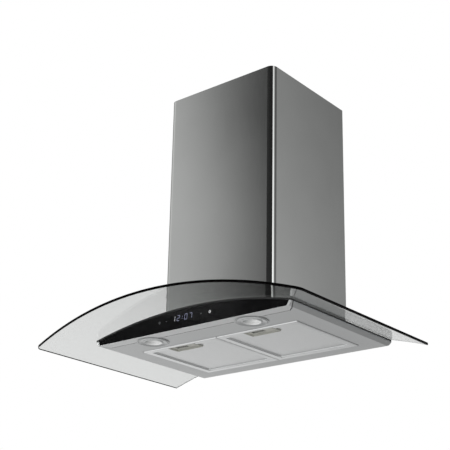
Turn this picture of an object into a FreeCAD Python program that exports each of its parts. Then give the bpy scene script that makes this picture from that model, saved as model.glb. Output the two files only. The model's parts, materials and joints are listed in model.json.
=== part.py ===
import FreeCAD, Part
import math
import os

from FreeCAD import Vector

# Wall-hung range hood with a barrel-curved glass canopy. Sizes in millimetres.
# X is to the right seen from the front, the front faces -Y, the wall is the plane Y = 0, and Z is up.
# Every piece is drawn with the underside of the hood at Z = 0 and then lowered by HANGER_HEIGHT,
# so that the finished origin lies on the wall at the middle of the hanger's four bolt holes.

# --- Whole hood ---
HANGER_HEIGHT = 150.0        # hanger bolt centre above the underside
CHIMNEY_TOP = 639.5          # top of the lower chimney cover above the underside

# --- Clearances ---
SEAT_GAP = 0.2               # between pieces that sit on one another in one rigid group
MOVE_GAP = 0.5               # between pieces that move past one another
RUNNING_GAP = 0.05           # radial, round a turning shaft or pin
PRESS_GAP = 0.01             # radial, where a shaft is fixed in a hub
OVERCUT = 1.0                # how far a cut runs past the face that it opens

# --- Glass canopy ---
GLASS_WIDTH = 750.0
GLASS_SIDE_DEPTH = 490.0     # wall to the front corners
GLASS_BOW = 32.0             # how far the middle of the front edge stands ahead of the corners
GLASS_THICKNESS = 6.0
GLASS_RADIUS = 1174.0        # barrel radius of the underside, axis along Y
GLASS_CROWN = 48.5           # underside of the glass at its middle, above the hood's underside
GLASS_CORNER_RADIUS = 12.0
GLASS_EDGE_ROUND = 1.4       # polished edge

# --- Gasket between body and glass ---
GASKET_THICKNESS = 4.0
GASKET_WIDTH = 9.0

# --- Body: tray, top cover, fascia ---
BODY_WIDTH = 548.0           # at the underside
SIDE_LEAN = 7.0              # each side leans outwards by this from the underside to the glass
TRAY_DEPTH = 360.0           # wall to the groove behind the fascia
FASCIA_DEPTH = 30.0
FASCIA_CORNER = 23.0         # diagonal joint between tray and fascia at each front corner
SHEET = 1.0                  # tray, top cover and brackets' thin sheet
TRAY_BEND = 8.0              # fold from the underside to the back wall
GROOVE = 1.4                 # visible joint between tray and fascia frame

FASCIA_WALL = 2.0
FASCIA_GLASS_THICKNESS = 4.0
FASCIA_END_RIM = 6.0         # bare frame outside each end of the black panel
FASCIA_BOTTOM_LIP = 1.0
DISPLAY_WIDTH = 42.0
DISPLAY_HEIGHT = 16.0
DISPLAY_CENTRE_X = -7.0
DISPLAY_CENTRE_Z = 25.5
DISPLAY_DEPTH = 5.0
TOUCH_BOARD_WIDTH = 190.0
TOUCH_BOARD_HEIGHT = 24.0
TOUCH_BOARD_THICKNESS = 1.6
TOUCH_POST_RADIUS = 2.5
TOUCH_POST_INSET = 8.0       # post's axis from the end of the board

# --- Blower opening through top cover and glass ---
SPIGOT_WIDTH = 210.0         # over the air frame
SPIGOT_DEPTH = 200.0
SPIGOT_CENTRE_Y = -150.0
SPIGOT_CORNER = 14.0
GLASS_CUTOUT_MARGIN = 6.0    # glass edge to the spigot all round

# --- Lamps ---
LAMP_CENTRE_X = 143.0
LAMP_SETBACK = 17.0          # groove to the middle of each lamp
LAMP_BEZEL_RADIUS = 37.5
LAMP_BEZEL_THICKNESS = 2.2
LAMP_BEZEL_LIP = 4.0         # flat ring next to the lens
LAMP_BEZEL_VALLEY = 6.0      # lens to the valley of the ring
LAMP_BEZEL_VALLEY_DROP = 1.2
LAMP_BEZEL_SHOULDER = 6.0    # crest of the ring to its outer edge
LAMP_BEZEL_RIM = 1.0
LAMP_BEZEL_RIM_DROP = 1.75
LAMP_LENS_RADIUS = 20.0
LAMP_LENS_DOME = 2.6
LAMP_LENS_THICKNESS = 2.0
LAMP_CAN_RADIUS = 26.0
LAMP_CAN_WALL = 1.5
LAMP_CAN_HEIGHT = 20.0
LAMP_LED_RADIUS = 19.0
LAMP_LED_THICKNESS = 3.0

# --- Grease filters ---
FILTER_WIDTH = 222.4
FILTER_HEIGHT = 9.0
FILTER_CORNER = 3.0
FILTER_ROLL = 2.4            # rolled lower edge all round the frame
FILTER_PROUD = 1.6           # the frame stands this far below the underside
FILTER_REAR_Y = -50.0
FILTER_SETBACK = 68.5        # groove to the front edge of each filter
FILTER_PITCH = 224.0         # between the two filters' middles: they all but meet
FILTER_GAP = 1.6             # round each filter in its opening
FILTER_RIM = 16.0
FILTER_WALL = 1.2
FILTER_TAB_WIDTH = 22.0
FILTER_TAB_REACH = 6.0
FILTER_TAB_THICKNESS = 1.2
FILTER_TAB_SPACING = 130.0
MESH_THICKNESS = 4.4
MESH_INSET = 1.6             # mesh pad above the rim's lower wall

# --- Filter latch: a shallow recess let into the frame, with a sprung slide above its ceiling ---
LATCH_WIDTH = 78.0
LATCH_DEPTH = 35.0
LATCH_SETBACK = 7.0          # filter front edge to the cup
LATCH_END_SLOT = 3.0         # open slot in the frame beside the right end of the cup
LATCH_WALL = 1.2
LATCH_RECESS_DEPTH = 4.5     # frame's lower face to the ceiling
LATCH_CEILING = 0.8
LATCH_TRAVEL = 7.0
LATCH_PLATE_WIDTH = 74.0
LATCH_PLATE_THICKNESS = 1.5
LATCH_SLOT_WIDTH = 34.5      # slot in the ceiling for the key
LATCH_SLOT_OFFSET = -12.8    # middle of the slot from the middle of the cup
LATCH_KEY_WIDTH = 25.5       # bar that the fingertips pull, at the right end of the slot
LATCH_KEY_DEPTH = 3.0
LATCH_KEY_HEIGHT = 2.6
LATCH_KEY_SETBACK = 16.0     # front of the cup to the key
LATCH_TONGUE_WIDTH = 16.0
LATCH_SPRING_RADIUS = 1.1
LATCH_SPRING_WALL = 0.35
LATCH_SPRING_SPACING = 62.0
LATCH_SPRING_POCKET = 2.6    # notch in the rear edge of the plate for each spring

# --- Chimney ---
CHIMNEY_WIDTH = 320.0
CHIMNEY_DEPTH = 295.0
CHIMNEY_SHEET = 1.2
CHIMNEY_BEND = 16.0
CHIMNEY_HANGER_CLEAR = 8.0   # edge of each rear return flange to the wall hanger between them
CHIMNEY_SLIDE_GAP = 0.4      # between the outer and inner covers
CHIMNEY_OVER_GLASS = 1.0
INNER_CHIMNEY_CLEAR = 42.0   # foot of the inner cover above the sides of the blower cradle
INNER_CHIMNEY_DROP = 4.0     # top of the inner cover below the top of the outer one

# --- Upper wall bracket, fixed inside the top of the inner cover ---
UPPER_BRACKET_HEIGHT = 30.0
UPPER_BRACKET_SHEET = 1.5
UPPER_BRACKET_ARM = 40.0
UPPER_BRACKET_DROP = 20.0
UPPER_BRACKET_HOLE_SPACING = 200.0
UPPER_BRACKET_CLEAR = 8.0    # wall strip's end to the lower cover's return flange
UPPER_SCREW_SETBACK = 24.0   # rear of each arm to its screw

# --- Wall hanger ---
HANGER_WIDTH = 260.0
HANGER_PLATE_HEIGHT = 60.0
HANGER_SHEET = 2.0
HANGER_HOLE_RADIUS = 4.0
HANGER_HOLE_SPACING_X = 200.0
HANGER_HOLE_SPACING_Z = 30.0
HANGER_HOOK_REACH = 6.0
HANGER_LIP = 8.0             # height of the hook's lip above the plate

# --- Blower cradle, bolted down through the glass ---
CRADLE_SHEET = 1.5
CRADLE_BASE_Z = 60.0
CRADLE_SIDE_HEIGHT = 60.0
CRADLE_BACK_INSET = 5.0      # each end of the cradle's back inside the end of the hanger
CRADLE_HOOK_DROP = 6.0
CRADLE_SIDE_CLEAR = 0.3

# --- Blower ---
BLOWER_CENTRE_X = -28.0      # shaft, left of the middle so that the outlet comes nearer to it
BLOWER_CENTRE_Y = -150.0
BLOWER_WIDTH = 132.0
BLOWER_AXIS_Z = 194.0
SCROLL_START_RADIUS = 92.0
SCROLL_STEP = 11.0           # radius gained at each quarter turn of the scroll
SCROLL_WALL = 1.5
SCROLL_FLANGE = 7.0
SCROLL_OUTLET_Z = 330.0
INLET_RADIUS = 72.0
IMPELLER_RADIUS = 80.0
IMPELLER_BLADE_DEPTH = 13.0
IMPELLER_BLADE_THICKNESS = 1.0
IMPELLER_BLADE_COUNT = 36
IMPELLER_BLADE_ANGLE = 28.0
IMPELLER_WIDTH = 118.0
IMPELLER_DISC = 2.0
IMPELLER_RING_HEIGHT = 5.0
IMPELLER_RING_WALL = 2.0
IMPELLER_BLADE_INSET = 0.6   # tip of a blade inside the rings' outer face
IMPELLER_DISC_INSET = 1.0
HUB_RADIUS = 12.0
HUB_LENGTH = 22.0
SHAFT_RADIUS = 5.0
SHAFT_PROUD = 4.0            # end of the shaft past the hub
MOTOR_RADIUS = 46.0
MOTOR_LENGTH = 62.0
MOTOR_EDGE_ROUND = 4.0
MOTOR_BOSS_RADIUS = 14.0
MOTOR_BOSS_LENGTH = 6.0
MOTOR_PROUD = 12.0           # motor stands this far out of the scroll's front face
MOTOR_RING_WALL = 4.0
MOTOR_RING_DEPTH = 10.0
MOTOR_ARM_WIDTH = 16.0
MOTOR_ARM_COUNT = 3
MOTOR_ARM_SHEET = 2.0
MOTOR_ARM_CIRCLE = 83.0      # radius of the circle of the arms' screws
MOTOR_ARM_END = 5.0          # screw to the end of its arm
MOTOR_FIRST_ARM = 90.0       # angle of the first arm
BLOWER_RAIL_OVERLAP = 12.0   # rail's seat on the cradle beside the opening
BLOWER_RAIL_HEIGHT = 40.0
BLOWER_RAIL_DEPTH = 20.0

# --- Outlet collar with its back-draught flaps ---
COLLAR_RADIUS = 75.0
COLLAR_WALL = 2.0
COLLAR_HEIGHT = 48.0
COLLAR_BASE_HEIGHT = 4.0
COLLAR_LEDGE = 3.0
COLLAR_FLANGE = 6.0
COLLAR_FLANGE_CORNER = 10.0
FLAP_THICKNESS = 1.5
FLAP_PIVOT_X = 4.0
FLAP_PIVOT_HEIGHT = 12.0     # above the collar's base
FLAP_BARREL_RADIUS = 2.4
FLAP_PIN_RADIUS = 1.5
FLAP_ROUND_GAP = 1.5
FLAP_KNUCKLE_GAP = 1.5       # end of the knuckle to the ledge

# --- Electrics ---
POWER_BOX_WIDTH = 120.0
POWER_BOX_DEPTH = 38.0
POWER_BOX_HEIGHT = 70.0
POWER_BOX_WALL = 1.5
POWER_BOX_CENTRE_X = -40.0
POWER_BOX_FRONT_GAP = 8.0    # between the box and the chimney's front sheet
GLAND_RADIUS = 9.0
GLAND_BORE_RADIUS = 4.5
GLAND_LENGTH = 20.0
GLAND_TAIL = 8.0             # part of the gland below the lid's top
GLAND_INSET = 24.0           # gland's axis from the left end of the box
GLAND_NUT_RADIUS = 12.0
GLAND_NUT_HEIGHT = 5.0
CAPACITOR_RADIUS = 17.0
CAPACITOR_HEIGHT = 58.0
CAPACITOR_FROM_SIDE = 63.5   # its axis from the right side of the cradle
CAPACITOR_STUD_RADIUS = 4.0
CAPACITOR_STUD_HEIGHT = 6.0
POWER_BOARD_END_GAP = 3.0
POWER_BOARD_SIDE_GAP = 2.0
TRANSFORMER_WIDTH = 34.0
TRANSFORMER_HEIGHT = 28.4
TRANSFORMER_END_GAP = 12.0
TRANSFORMER_SIDE_GAP = 6.0

# --- Fasteners ---
CLAMP_SCREW_X = 132.0
CLAMP_SCREW_Y = (-45.0, -255.0)
CLAMP_SCREW_RADIUS = 3.0
CLAMP_HEAD_RADIUS = 5.5
CLAMP_HEAD_HEIGHT = 3.5
CLAMP_NUT_HEIGHT = 4.0
CLAMP_SCREW_PROUD = 2.0      # end of the screw past its nut
GROMMET_FLANGE_RADIUS = 9.0
GLASS_HOLE_RADIUS = 6.0
SMALL_SCREW_RADIUS = 1.9
SMALL_HEAD_RADIUS = 3.8
SMALL_HEAD_HEIGHT = 2.2
RECESS_RADIUS_SHARE = 0.7    # of the shank's radius
RECESS_DEPTH_SHARE = 0.5     # of the head's height

# --- Values worked out from the sizes above ---
ARC_CENTRE_Z = GLASS_CROWN - GLASS_RADIUS
BODY_RADIUS = GLASS_RADIUS - GASKET_THICKNESS
GLASS_OUTER_RADIUS = GLASS_RADIUS + GLASS_THICKNESS
HALF_BOTTOM = BODY_WIDTH / 2
HALF_TOP = HALF_BOTTOM + SIDE_LEAN
FRONT_Y = -(TRAY_DEPTH + FASCIA_DEPTH)
LAMP_CENTRE_Y = -(TRAY_DEPTH - LAMP_SETBACK)
FILTER_FRONT_Y = -(TRAY_DEPTH - FILTER_SETBACK)
FILTER_TOP = FILTER_HEIGHT - FILTER_PROUD
LATCH_FRONT_Y = FILTER_FRONT_Y + LATCH_SETBACK
LATCH_REAR_Y = LATCH_FRONT_Y + LATCH_DEPTH
LATCH_SLIDE_REAR_Y = LATCH_REAR_Y - LATCH_WALL - MOVE_GAP - LATCH_TRAVEL
LATCH_KEY_FRONT_Y = LATCH_FRONT_Y + LATCH_KEY_SETBACK
LATCH_KEY_REAR_Y = LATCH_KEY_FRONT_Y + LATCH_KEY_DEPTH
LATCH_CEILING_Z = LATCH_RECESS_DEPTH - FILTER_PROUD
LATCH_PLATE_Z = LATCH_CEILING_Z + LATCH_CEILING + MOVE_GAP
LATCH_CHAMBER_TOP = LATCH_PLATE_Z + LATCH_PLATE_THICKNESS + MOVE_GAP
LATCH_CUP_TOP = LATCH_CHAMBER_TOP + LATCH_WALL
BLOWER_FRONT_Y = BLOWER_CENTRE_Y - BLOWER_WIDTH / 2
BLOWER_REAR_Y = BLOWER_CENTRE_Y + BLOWER_WIDTH / 2
COLLAR_Z = SCROLL_OUTLET_Z + SEAT_GAP
CRADLE_TOP = CRADLE_BASE_Z + CRADLE_SHEET
CHIMNEY_FLANGE = (CHIMNEY_WIDTH - HANGER_WIDTH) / 2 - CHIMNEY_HANGER_CLEAR
INNER_CHIMNEY_TOP = CHIMNEY_TOP - INNER_CHIMNEY_DROP
INNER_CHIMNEY_FOOT = CRADLE_BASE_Z + CRADLE_SIDE_HEIGHT + INNER_CHIMNEY_CLEAR
HANGER_TOP = HANGER_HEIGHT + HANGER_PLATE_HEIGHT / 2
FASCIA_WEB_Y = FRONT_Y + FASCIA_GLASS_THICKNESS + FASCIA_WALL
BIG = 2 * GLASS_WIDTH

X_AXIS = Vector(1, 0, 0)
Y_AXIS = Vector(0, 1, 0)
Z_AXIS = Vector(0, 0, 1)


# ---------------------------------------------------------------- small helpers

def box(x0, x1, y0, y1, z0, z1):
    """Box between two corners."""
    return Part.makeBox(x1 - x0, y1 - y0, z1 - z0, Vector(x0, y0, z0))


def between(xa, xb, y0, y1, z0, z1):
    """Box whose two X limits come in either order."""
    return box(min(xa, xb), max(xa, xb), y0, y1, z0, z1)


def cylinder(radius, base, height, axis=Z_AXIS):
    """Solid cylinder from a base point along an axis."""
    return Part.makeCylinder(radius, height, Vector(*base), axis)


def tube(outer, inner, base, height, axis=Z_AXIS):
    """Hollow cylinder."""
    return cylinder(outer, base, height, axis).cut(cylinder(inner, base, height, axis))


def prism_y(edges, y0, y1):
    """Extrude a closed outline in the XZ plane from y0 to y1."""
    face = Part.Face(Part.Wire(edges))
    face.translate(Vector(0, y0, 0))
    return face.extrude(Vector(0, y1 - y0, 0))


def prism_z(points, z0, z1):
    """Extrude a closed polygon of (x, y) points from z0 to z1."""
    corners = [Vector(x, y, z0) for x, y in points]
    face = Part.Face(Part.makePolygon(corners + corners[:1]))
    return face.extrude(Vector(0, 0, z1 - z0))


def rounded_box(x0, x1, y0, y1, z0, z1, radius):
    """Box with its four upright edges rounded."""
    block = box(x0, x1, y0, y1, z0, z1)
    upright = [edge for edge in block.Edges if abs(edge.tangentAt(0).z) > 0.99]
    return block.makeFillet(radius, upright)


def moved(shape, x=0.0, y=0.0, z=0.0):
    """A copy moved by x, y and z."""
    copy = shape.copy()
    copy.translate(Vector(x, y, z))
    return copy


def joined(shapes):
    """One solid from several that touch."""
    whole = shapes[0].multiFuse(shapes[1:])
    return whole.removeSplitter()


def arc_z(radius, x):
    """Height at x of a barrel of this radius about the canopy's axis."""
    return ARC_CENTRE_Z + math.sqrt(radius * radius - x * x)


def barrel(radius):
    """Long solid cylinder about the canopy's axis, used to cut pieces to the curve of the glass."""
    return cylinder(radius, (0, -BIG, ARC_CENTRE_Z), 2 * BIG, Y_AXIS)


def arc_edge(radius, half, bottom=False):
    """Arc in the XZ plane over the middle, from -half to +half."""
    left = Vector(-half, 0, arc_z(radius, half))
    middle = Vector(0, 0, ARC_CENTRE_Z + radius)
    right = Vector(half, 0, arc_z(radius, half))
    return Part.Arc(right, middle, left).toShape() if bottom else Part.Arc(left, middle, right).toShape()


def body_outline(radius, inset=0.0, bottom=0.0):
    """Front outline of the body: flat underside, leaning ends, curved top of the given radius."""
    top_edge_z = arc_z(BODY_RADIUS, HALF_TOP)
    lean = SIDE_LEAN / top_edge_z
    half_low = HALF_BOTTOM - inset + lean * bottom
    half_high = HALF_TOP - inset
    low_left = Vector(-half_low, 0, bottom)
    low_right = Vector(half_low, 0, bottom)
    high_left = Vector(-half_high, 0, arc_z(radius, half_high))
    high_right = Vector(half_high, 0, arc_z(radius, half_high))
    return [
        Part.LineSegment(low_left, low_right).toShape(),
        Part.LineSegment(low_right, high_right).toShape(),
        arc_edge(radius, half_high, bottom=True),
        Part.LineSegment(high_left, low_left).toShape(),
    ]


def tray_plan(inset=0.0):
    """Plan of the tray: its front corners run forward past the groove to the fascia's diagonal ends.
    The inset is square to every side, the diagonal ones included."""
    edge = HALF_TOP - inset
    side = edge + OVERCUT
    groove = -TRAY_DEPTH + inset
    slant = inset * math.sqrt(2)
    horn = -(TRAY_DEPTH + FASCIA_CORNER) + inset + slant
    inner = HALF_TOP - FASCIA_CORNER - inset + slant
    return [
        (-side, -inset), (-side, horn), (-edge, horn), (-inner, groove),
        (inner, groove), (edge, horn), (side, horn), (side, -inset),
    ]


def fascia_plan():
    """Plan of the fascia frame, a groove's width clear of the tray."""
    back = -(TRAY_DEPTH + GROOVE)
    inner = HALF_TOP - FASCIA_CORNER - GROOVE
    horn = -(TRAY_DEPTH + FASCIA_CORNER + GROOVE)
    side = HALF_TOP + OVERCUT
    return [(-side, FRONT_Y), (-side, horn), (-inner - FASCIA_CORNER, horn), (-inner, back),
            (inner, back), (inner + FASCIA_CORNER, horn), (side, horn), (side, FRONT_Y)]


def filter_centre(side):
    """Middle of a filter in X: side is -1 for the left one and 1 for the right one."""
    return side * FILTER_PITCH / 2


def screw(base, axis, length, radius=SMALL_SCREW_RADIUS, head=SMALL_HEAD_RADIUS, thick=SMALL_HEAD_HEIGHT):
    """Pan-head screw: the head's underside at base, the shank running along axis."""
    start = Vector(*base)
    shank = Part.makeCylinder(radius, length, start, axis)
    cap = Part.makeCylinder(head, thick, start - axis * thick, axis)
    recess = Part.makeCylinder(radius * RECESS_RADIUS_SHARE, thick * RECESS_DEPTH_SHARE, start - axis * thick,
                               axis)
    return shank.fuse(cap).cut(recess)


# ---------------------------------------------------------------- canopy

def glass_plan():
    """Plan of the glass: straight sides and a gently bowed front edge with rounded corners."""
    half = GLASS_WIDTH / 2
    left_front = Vector(-half, -GLASS_SIDE_DEPTH, 0)
    right_front = Vector(half, -GLASS_SIDE_DEPTH, 0)
    nose = Vector(0, -(GLASS_SIDE_DEPTH + GLASS_BOW), 0)
    edges = [
        Part.LineSegment(Vector(-half, 0, 0), left_front).toShape(),
        Part.Arc(left_front, nose, right_front).toShape(),
        Part.LineSegment(right_front, Vector(half, 0, 0)).toShape(),
        Part.LineSegment(Vector(half, 0, 0), Vector(-half, 0, 0)).toShape(),
    ]
    plan = Part.Face(Part.Wire(edges)).extrude(Vector(0, 0, 2 * BIG))
    plan.translate(Vector(0, 0, -BIG))
    corners = []
    for edge in plan.Edges:
        upright = edge.Length > BIG and abs(edge.tangentAt(edge.FirstParameter).z) > 0.99
        if upright and edge.CenterOfMass.y < -GLASS_SIDE_DEPTH / 2:
            corners.append(edge)
    return plan.makeFillet(GLASS_CORNER_RADIUS, corners)


def glass_canopy():
    """Curved toughened glass with the blower cut-out and four clamp holes."""
    skin = barrel(GLASS_OUTER_RADIUS).cut(barrel(GLASS_RADIUS))
    upper = box(-BIG, BIG, -BIG, BIG, ARC_CENTRE_Z, BIG)
    pane = glass_plan().common(skin.common(upper))
    rim = [edge for edge in pane.Edges if edge.Length > GLASS_SIDE_DEPTH / 2]
    pane = pane.makeFillet(GLASS_EDGE_ROUND, rim)
    pane = pane.cut(spigot(GLASS_CUTOUT_MARGIN, 0, BIG))
    for x, y in clamp_points():
        pane = pane.cut(cylinder(GLASS_HOLE_RADIUS, (x, y, 0), BIG))
    return pane


def clamp_points():
    """Where the four clamp screws go through the glass."""
    return [(side * CLAMP_SCREW_X, y) for side in (-1, 1) for y in CLAMP_SCREW_Y]


def glass_gasket():
    """Rubber strip round the rim of the body, under the glass."""
    skin = barrel(GLASS_RADIUS - SEAT_GAP / 2).cut(barrel(BODY_RADIUS + SEAT_GAP / 2))
    outer = box(-HALF_TOP, HALF_TOP, FRONT_Y, 0, 0, BIG)
    inner = box(-HALF_TOP + GASKET_WIDTH, HALF_TOP - GASKET_WIDTH,
                FRONT_Y + GASKET_WIDTH, -GASKET_WIDTH, -BIG, 2 * BIG)
    return outer.cut(inner).common(skin)


def canopy_tray():
    """Folded steel tray: underside with filter and lamp openings, leaning sides, back wall."""
    outer = prism_y(body_outline(BODY_RADIUS - SHEET - SEAT_GAP), FRONT_Y, 0)
    outer = rear_folded(outer.common(prism_z(tray_plan(), -BIG, BIG)), TRAY_BEND)
    inner = prism_y(body_outline(BODY_RADIUS + GLASS_CROWN, SHEET, SHEET), FRONT_Y, 0)
    inner = rear_folded(inner.common(prism_z(tray_plan(SHEET), -BIG, BIG)), TRAY_BEND - SHEET)
    tray = outer.cut(inner)
    for side in (-1, 1):
        middle = filter_centre(side)
        half = FILTER_WIDTH / 2 + FILTER_GAP
        tray = tray.cut(box(middle - half, middle + half, FILTER_FRONT_Y - FILTER_GAP,
                            FILTER_REAR_Y + FILTER_GAP, -OVERCUT, SHEET + OVERCUT))
        tray = tray.cut(lamp_clearance(side))
    return tray


def rear_folded(block, radius):
    """Block whose long lower edge at the rear is rounded."""
    folds = []
    for edge in block.Edges:
        middle = edge.CenterOfMass
        if edge.Length > BODY_WIDTH / 2 and middle.z < TRAY_BEND and middle.y > -TRAY_BEND:
            folds.append(edge)
    return block.makeFillet(radius, folds)


def lamp_clearance(side):
    """Room for a lamp's can in the pieces round it."""
    return cylinder(LAMP_CAN_RADIUS + SEAT_GAP, (side * LAMP_CENTRE_X, LAMP_CENTRE_Y, -OVERCUT),
                    LAMP_CAN_HEIGHT + OVERCUT + SEAT_GAP)


def spigot(margin, z0, z1):
    """Rounded rectangular block at the blower opening, margin wider all round."""
    half_x = SPIGOT_WIDTH / 2 + margin
    half_y = SPIGOT_DEPTH / 2 + margin
    return rounded_box(-half_x, half_x, SPIGOT_CENTRE_Y - half_y, SPIGOT_CENTRE_Y + half_y,
                       z0, z1, SPIGOT_CORNER + margin)


def top_cover():
    """Curved steel cover of the body, open inside the air frame that stands on it."""
    skin = barrel(BODY_RADIUS).cut(barrel(BODY_RADIUS - SHEET))
    cover = skin.common(prism_z(tray_plan(SEAT_GAP), 0, BIG)).cut(spigot(-SHEET, -BIG, BIG))
    for x, y in clamp_points():
        cover = cover.cut(cylinder(CLAMP_SCREW_RADIUS + SEAT_GAP, (x, y, 0), BIG))
    return cover


def air_frame():
    """Upright frame that carries air through the glass, held between the top cover and the cradle."""
    frame = spigot(0, arc_z(BODY_RADIUS, SPIGOT_WIDTH / 2), CRADLE_BASE_Z - SEAT_GAP)
    return frame.cut(barrel(BODY_RADIUS + SEAT_GAP)).cut(spigot(-SHEET, -BIG, BIG))


# ---------------------------------------------------------------- fascia

def fascia_panel_outline(gap):
    """Outline of the black panel, gap smaller all round."""
    return body_outline(BODY_RADIUS - gap - SEAT_GAP, FASCIA_END_RIM + gap, FASCIA_BOTTOM_LIP + gap)


def fascia_frame():
    """Bright frame of the control fascia, with a recess for the panel and a hollow behind it."""
    frame = prism_y(body_outline(BODY_RADIUS - SEAT_GAP / 2), FRONT_Y, -TRAY_DEPTH)
    frame = frame.common(prism_z(fascia_plan(), -BIG, BIG))
    recess = prism_y(fascia_panel_outline(-SEAT_GAP), FRONT_Y - OVERCUT, FRONT_Y + FASCIA_GLASS_THICKNESS)
    hollow = prism_y(body_outline(BODY_RADIUS - FASCIA_WALL, FASCIA_CORNER + FASCIA_END_RIM, FASCIA_WALL),
                     FASCIA_WEB_Y, 0)
    window = display_block(SEAT_GAP, FRONT_Y, FASCIA_WEB_Y + OVERCUT)
    frame = frame.cut(recess).cut(hollow).cut(window)
    for side in (-1, 1):
        frame = frame.cut(lamp_clearance(side))
    return frame


def fascia_glass():
    """Black glass touch panel."""
    return prism_y(fascia_panel_outline(0), FRONT_Y, FRONT_Y + FASCIA_GLASS_THICKNESS - SEAT_GAP)


def display_block(margin, y0, y1):
    """Block at the place of the figures, margin wider all round."""
    half_x = DISPLAY_WIDTH / 2 + margin
    half_z = DISPLAY_HEIGHT / 2 + margin
    return box(DISPLAY_CENTRE_X - half_x, DISPLAY_CENTRE_X + half_x, y0, y1,
               DISPLAY_CENTRE_Z - half_z, DISPLAY_CENTRE_Z + half_z)


def display_module():
    """Light block of the figures, behind the black panel."""
    back = FRONT_Y + FASCIA_GLASS_THICKNESS
    return display_block(0, back, back + DISPLAY_DEPTH)


def touch_board():
    """Circuit board that carries the display and the touch pads."""
    front = FRONT_Y + FASCIA_GLASS_THICKNESS + DISPLAY_DEPTH + SEAT_GAP
    low = DISPLAY_CENTRE_Z - TOUCH_BOARD_HEIGHT / 2
    board = box(-TOUCH_BOARD_WIDTH / 2, TOUCH_BOARD_WIDTH / 2, front, front + TOUCH_BOARD_THICKNESS,
                low, low + TOUCH_BOARD_HEIGHT)
    foot = FASCIA_WEB_Y + SEAT_GAP
    posts = []
    for side in (-1, 1):
        x = side * (TOUCH_BOARD_WIDTH / 2 - TOUCH_POST_INSET)
        posts.append(cylinder(TOUCH_POST_RADIUS, (x, foot, DISPLAY_CENTRE_Z), front - foot, Y_AXIS))
    return joined([board] + posts)


# ---------------------------------------------------------------- lamps

def lamp_bezel(side):
    """Domed trim ring under the body with the short barrel that holds the lens."""
    x = side * LAMP_CENTRE_X
    lens_seat = LAMP_LENS_RADIUS + SEAT_GAP
    outline = [(lens_seat, -LAMP_BEZEL_THICKNESS),
               (lens_seat + LAMP_BEZEL_LIP, -LAMP_BEZEL_THICKNESS),
               (lens_seat + LAMP_BEZEL_VALLEY, -LAMP_BEZEL_VALLEY_DROP),
               (LAMP_BEZEL_RADIUS - LAMP_BEZEL_SHOULDER, -LAMP_BEZEL_THICKNESS),
               (LAMP_BEZEL_RADIUS - LAMP_BEZEL_RIM, -LAMP_BEZEL_RIM_DROP),
               (LAMP_BEZEL_RADIUS, -SEAT_GAP),
               (lens_seat, -SEAT_GAP)]
    return revolved(outline, x, LAMP_CENTRE_Y)


def revolved(outline, x, y):
    """Turn an outline of (radius, z) points about the upright axis at x, y."""
    corners = [Vector(radius, 0, z) for radius, z in outline]
    face = Part.Face(Part.makePolygon(corners + corners[:1]))
    solid = face.revolve(Vector(0, 0, 0), Z_AXIS, 360)
    solid.translate(Vector(x, y, 0))
    return solid


def lamp_lens(side):
    """Domed diffuser: a cap of a sphere with a short straight edge."""
    radius = LAMP_LENS_RADIUS
    sphere_radius = (radius * radius + LAMP_LENS_DOME * LAMP_LENS_DOME) / (2 * LAMP_LENS_DOME)
    edge_z = -LAMP_BEZEL_THICKNESS
    ball = Part.makeSphere(sphere_radius, Vector(0, 0, edge_z - LAMP_LENS_DOME + sphere_radius))
    cap = ball.common(cylinder(radius, (0, 0, edge_z - LAMP_LENS_DOME - OVERCUT), LAMP_LENS_DOME + OVERCUT))
    base = cylinder(radius, (0, 0, edge_z), LAMP_LENS_THICKNESS)
    return moved(joined([cap, base]), side * LAMP_CENTRE_X, LAMP_CENTRE_Y)


def lamp_housing(side):
    """Aluminium can above the bezel, closed at the top, that carries the light away from the grease."""
    x = side * LAMP_CENTRE_X
    low = -SEAT_GAP / 2
    can = cylinder(LAMP_CAN_RADIUS, (x, LAMP_CENTRE_Y, low), LAMP_CAN_HEIGHT)
    return can.cut(cylinder(LAMP_CAN_RADIUS - LAMP_CAN_WALL, (x, LAMP_CENTRE_Y, low - OVERCUT),
                            LAMP_CAN_HEIGHT - LAMP_CAN_WALL + OVERCUT))


def lamp_led(side):
    """Round light-emitting board under the top of the can."""
    top = LAMP_CAN_HEIGHT - SEAT_GAP / 2 - LAMP_CAN_WALL - SEAT_GAP
    return cylinder(LAMP_LED_RADIUS, (side * LAMP_CENTRE_X, LAMP_CENTRE_Y, top - LAMP_LED_THICKNESS),
                    LAMP_LED_THICKNESS)


# ---------------------------------------------------------------- filters

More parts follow.
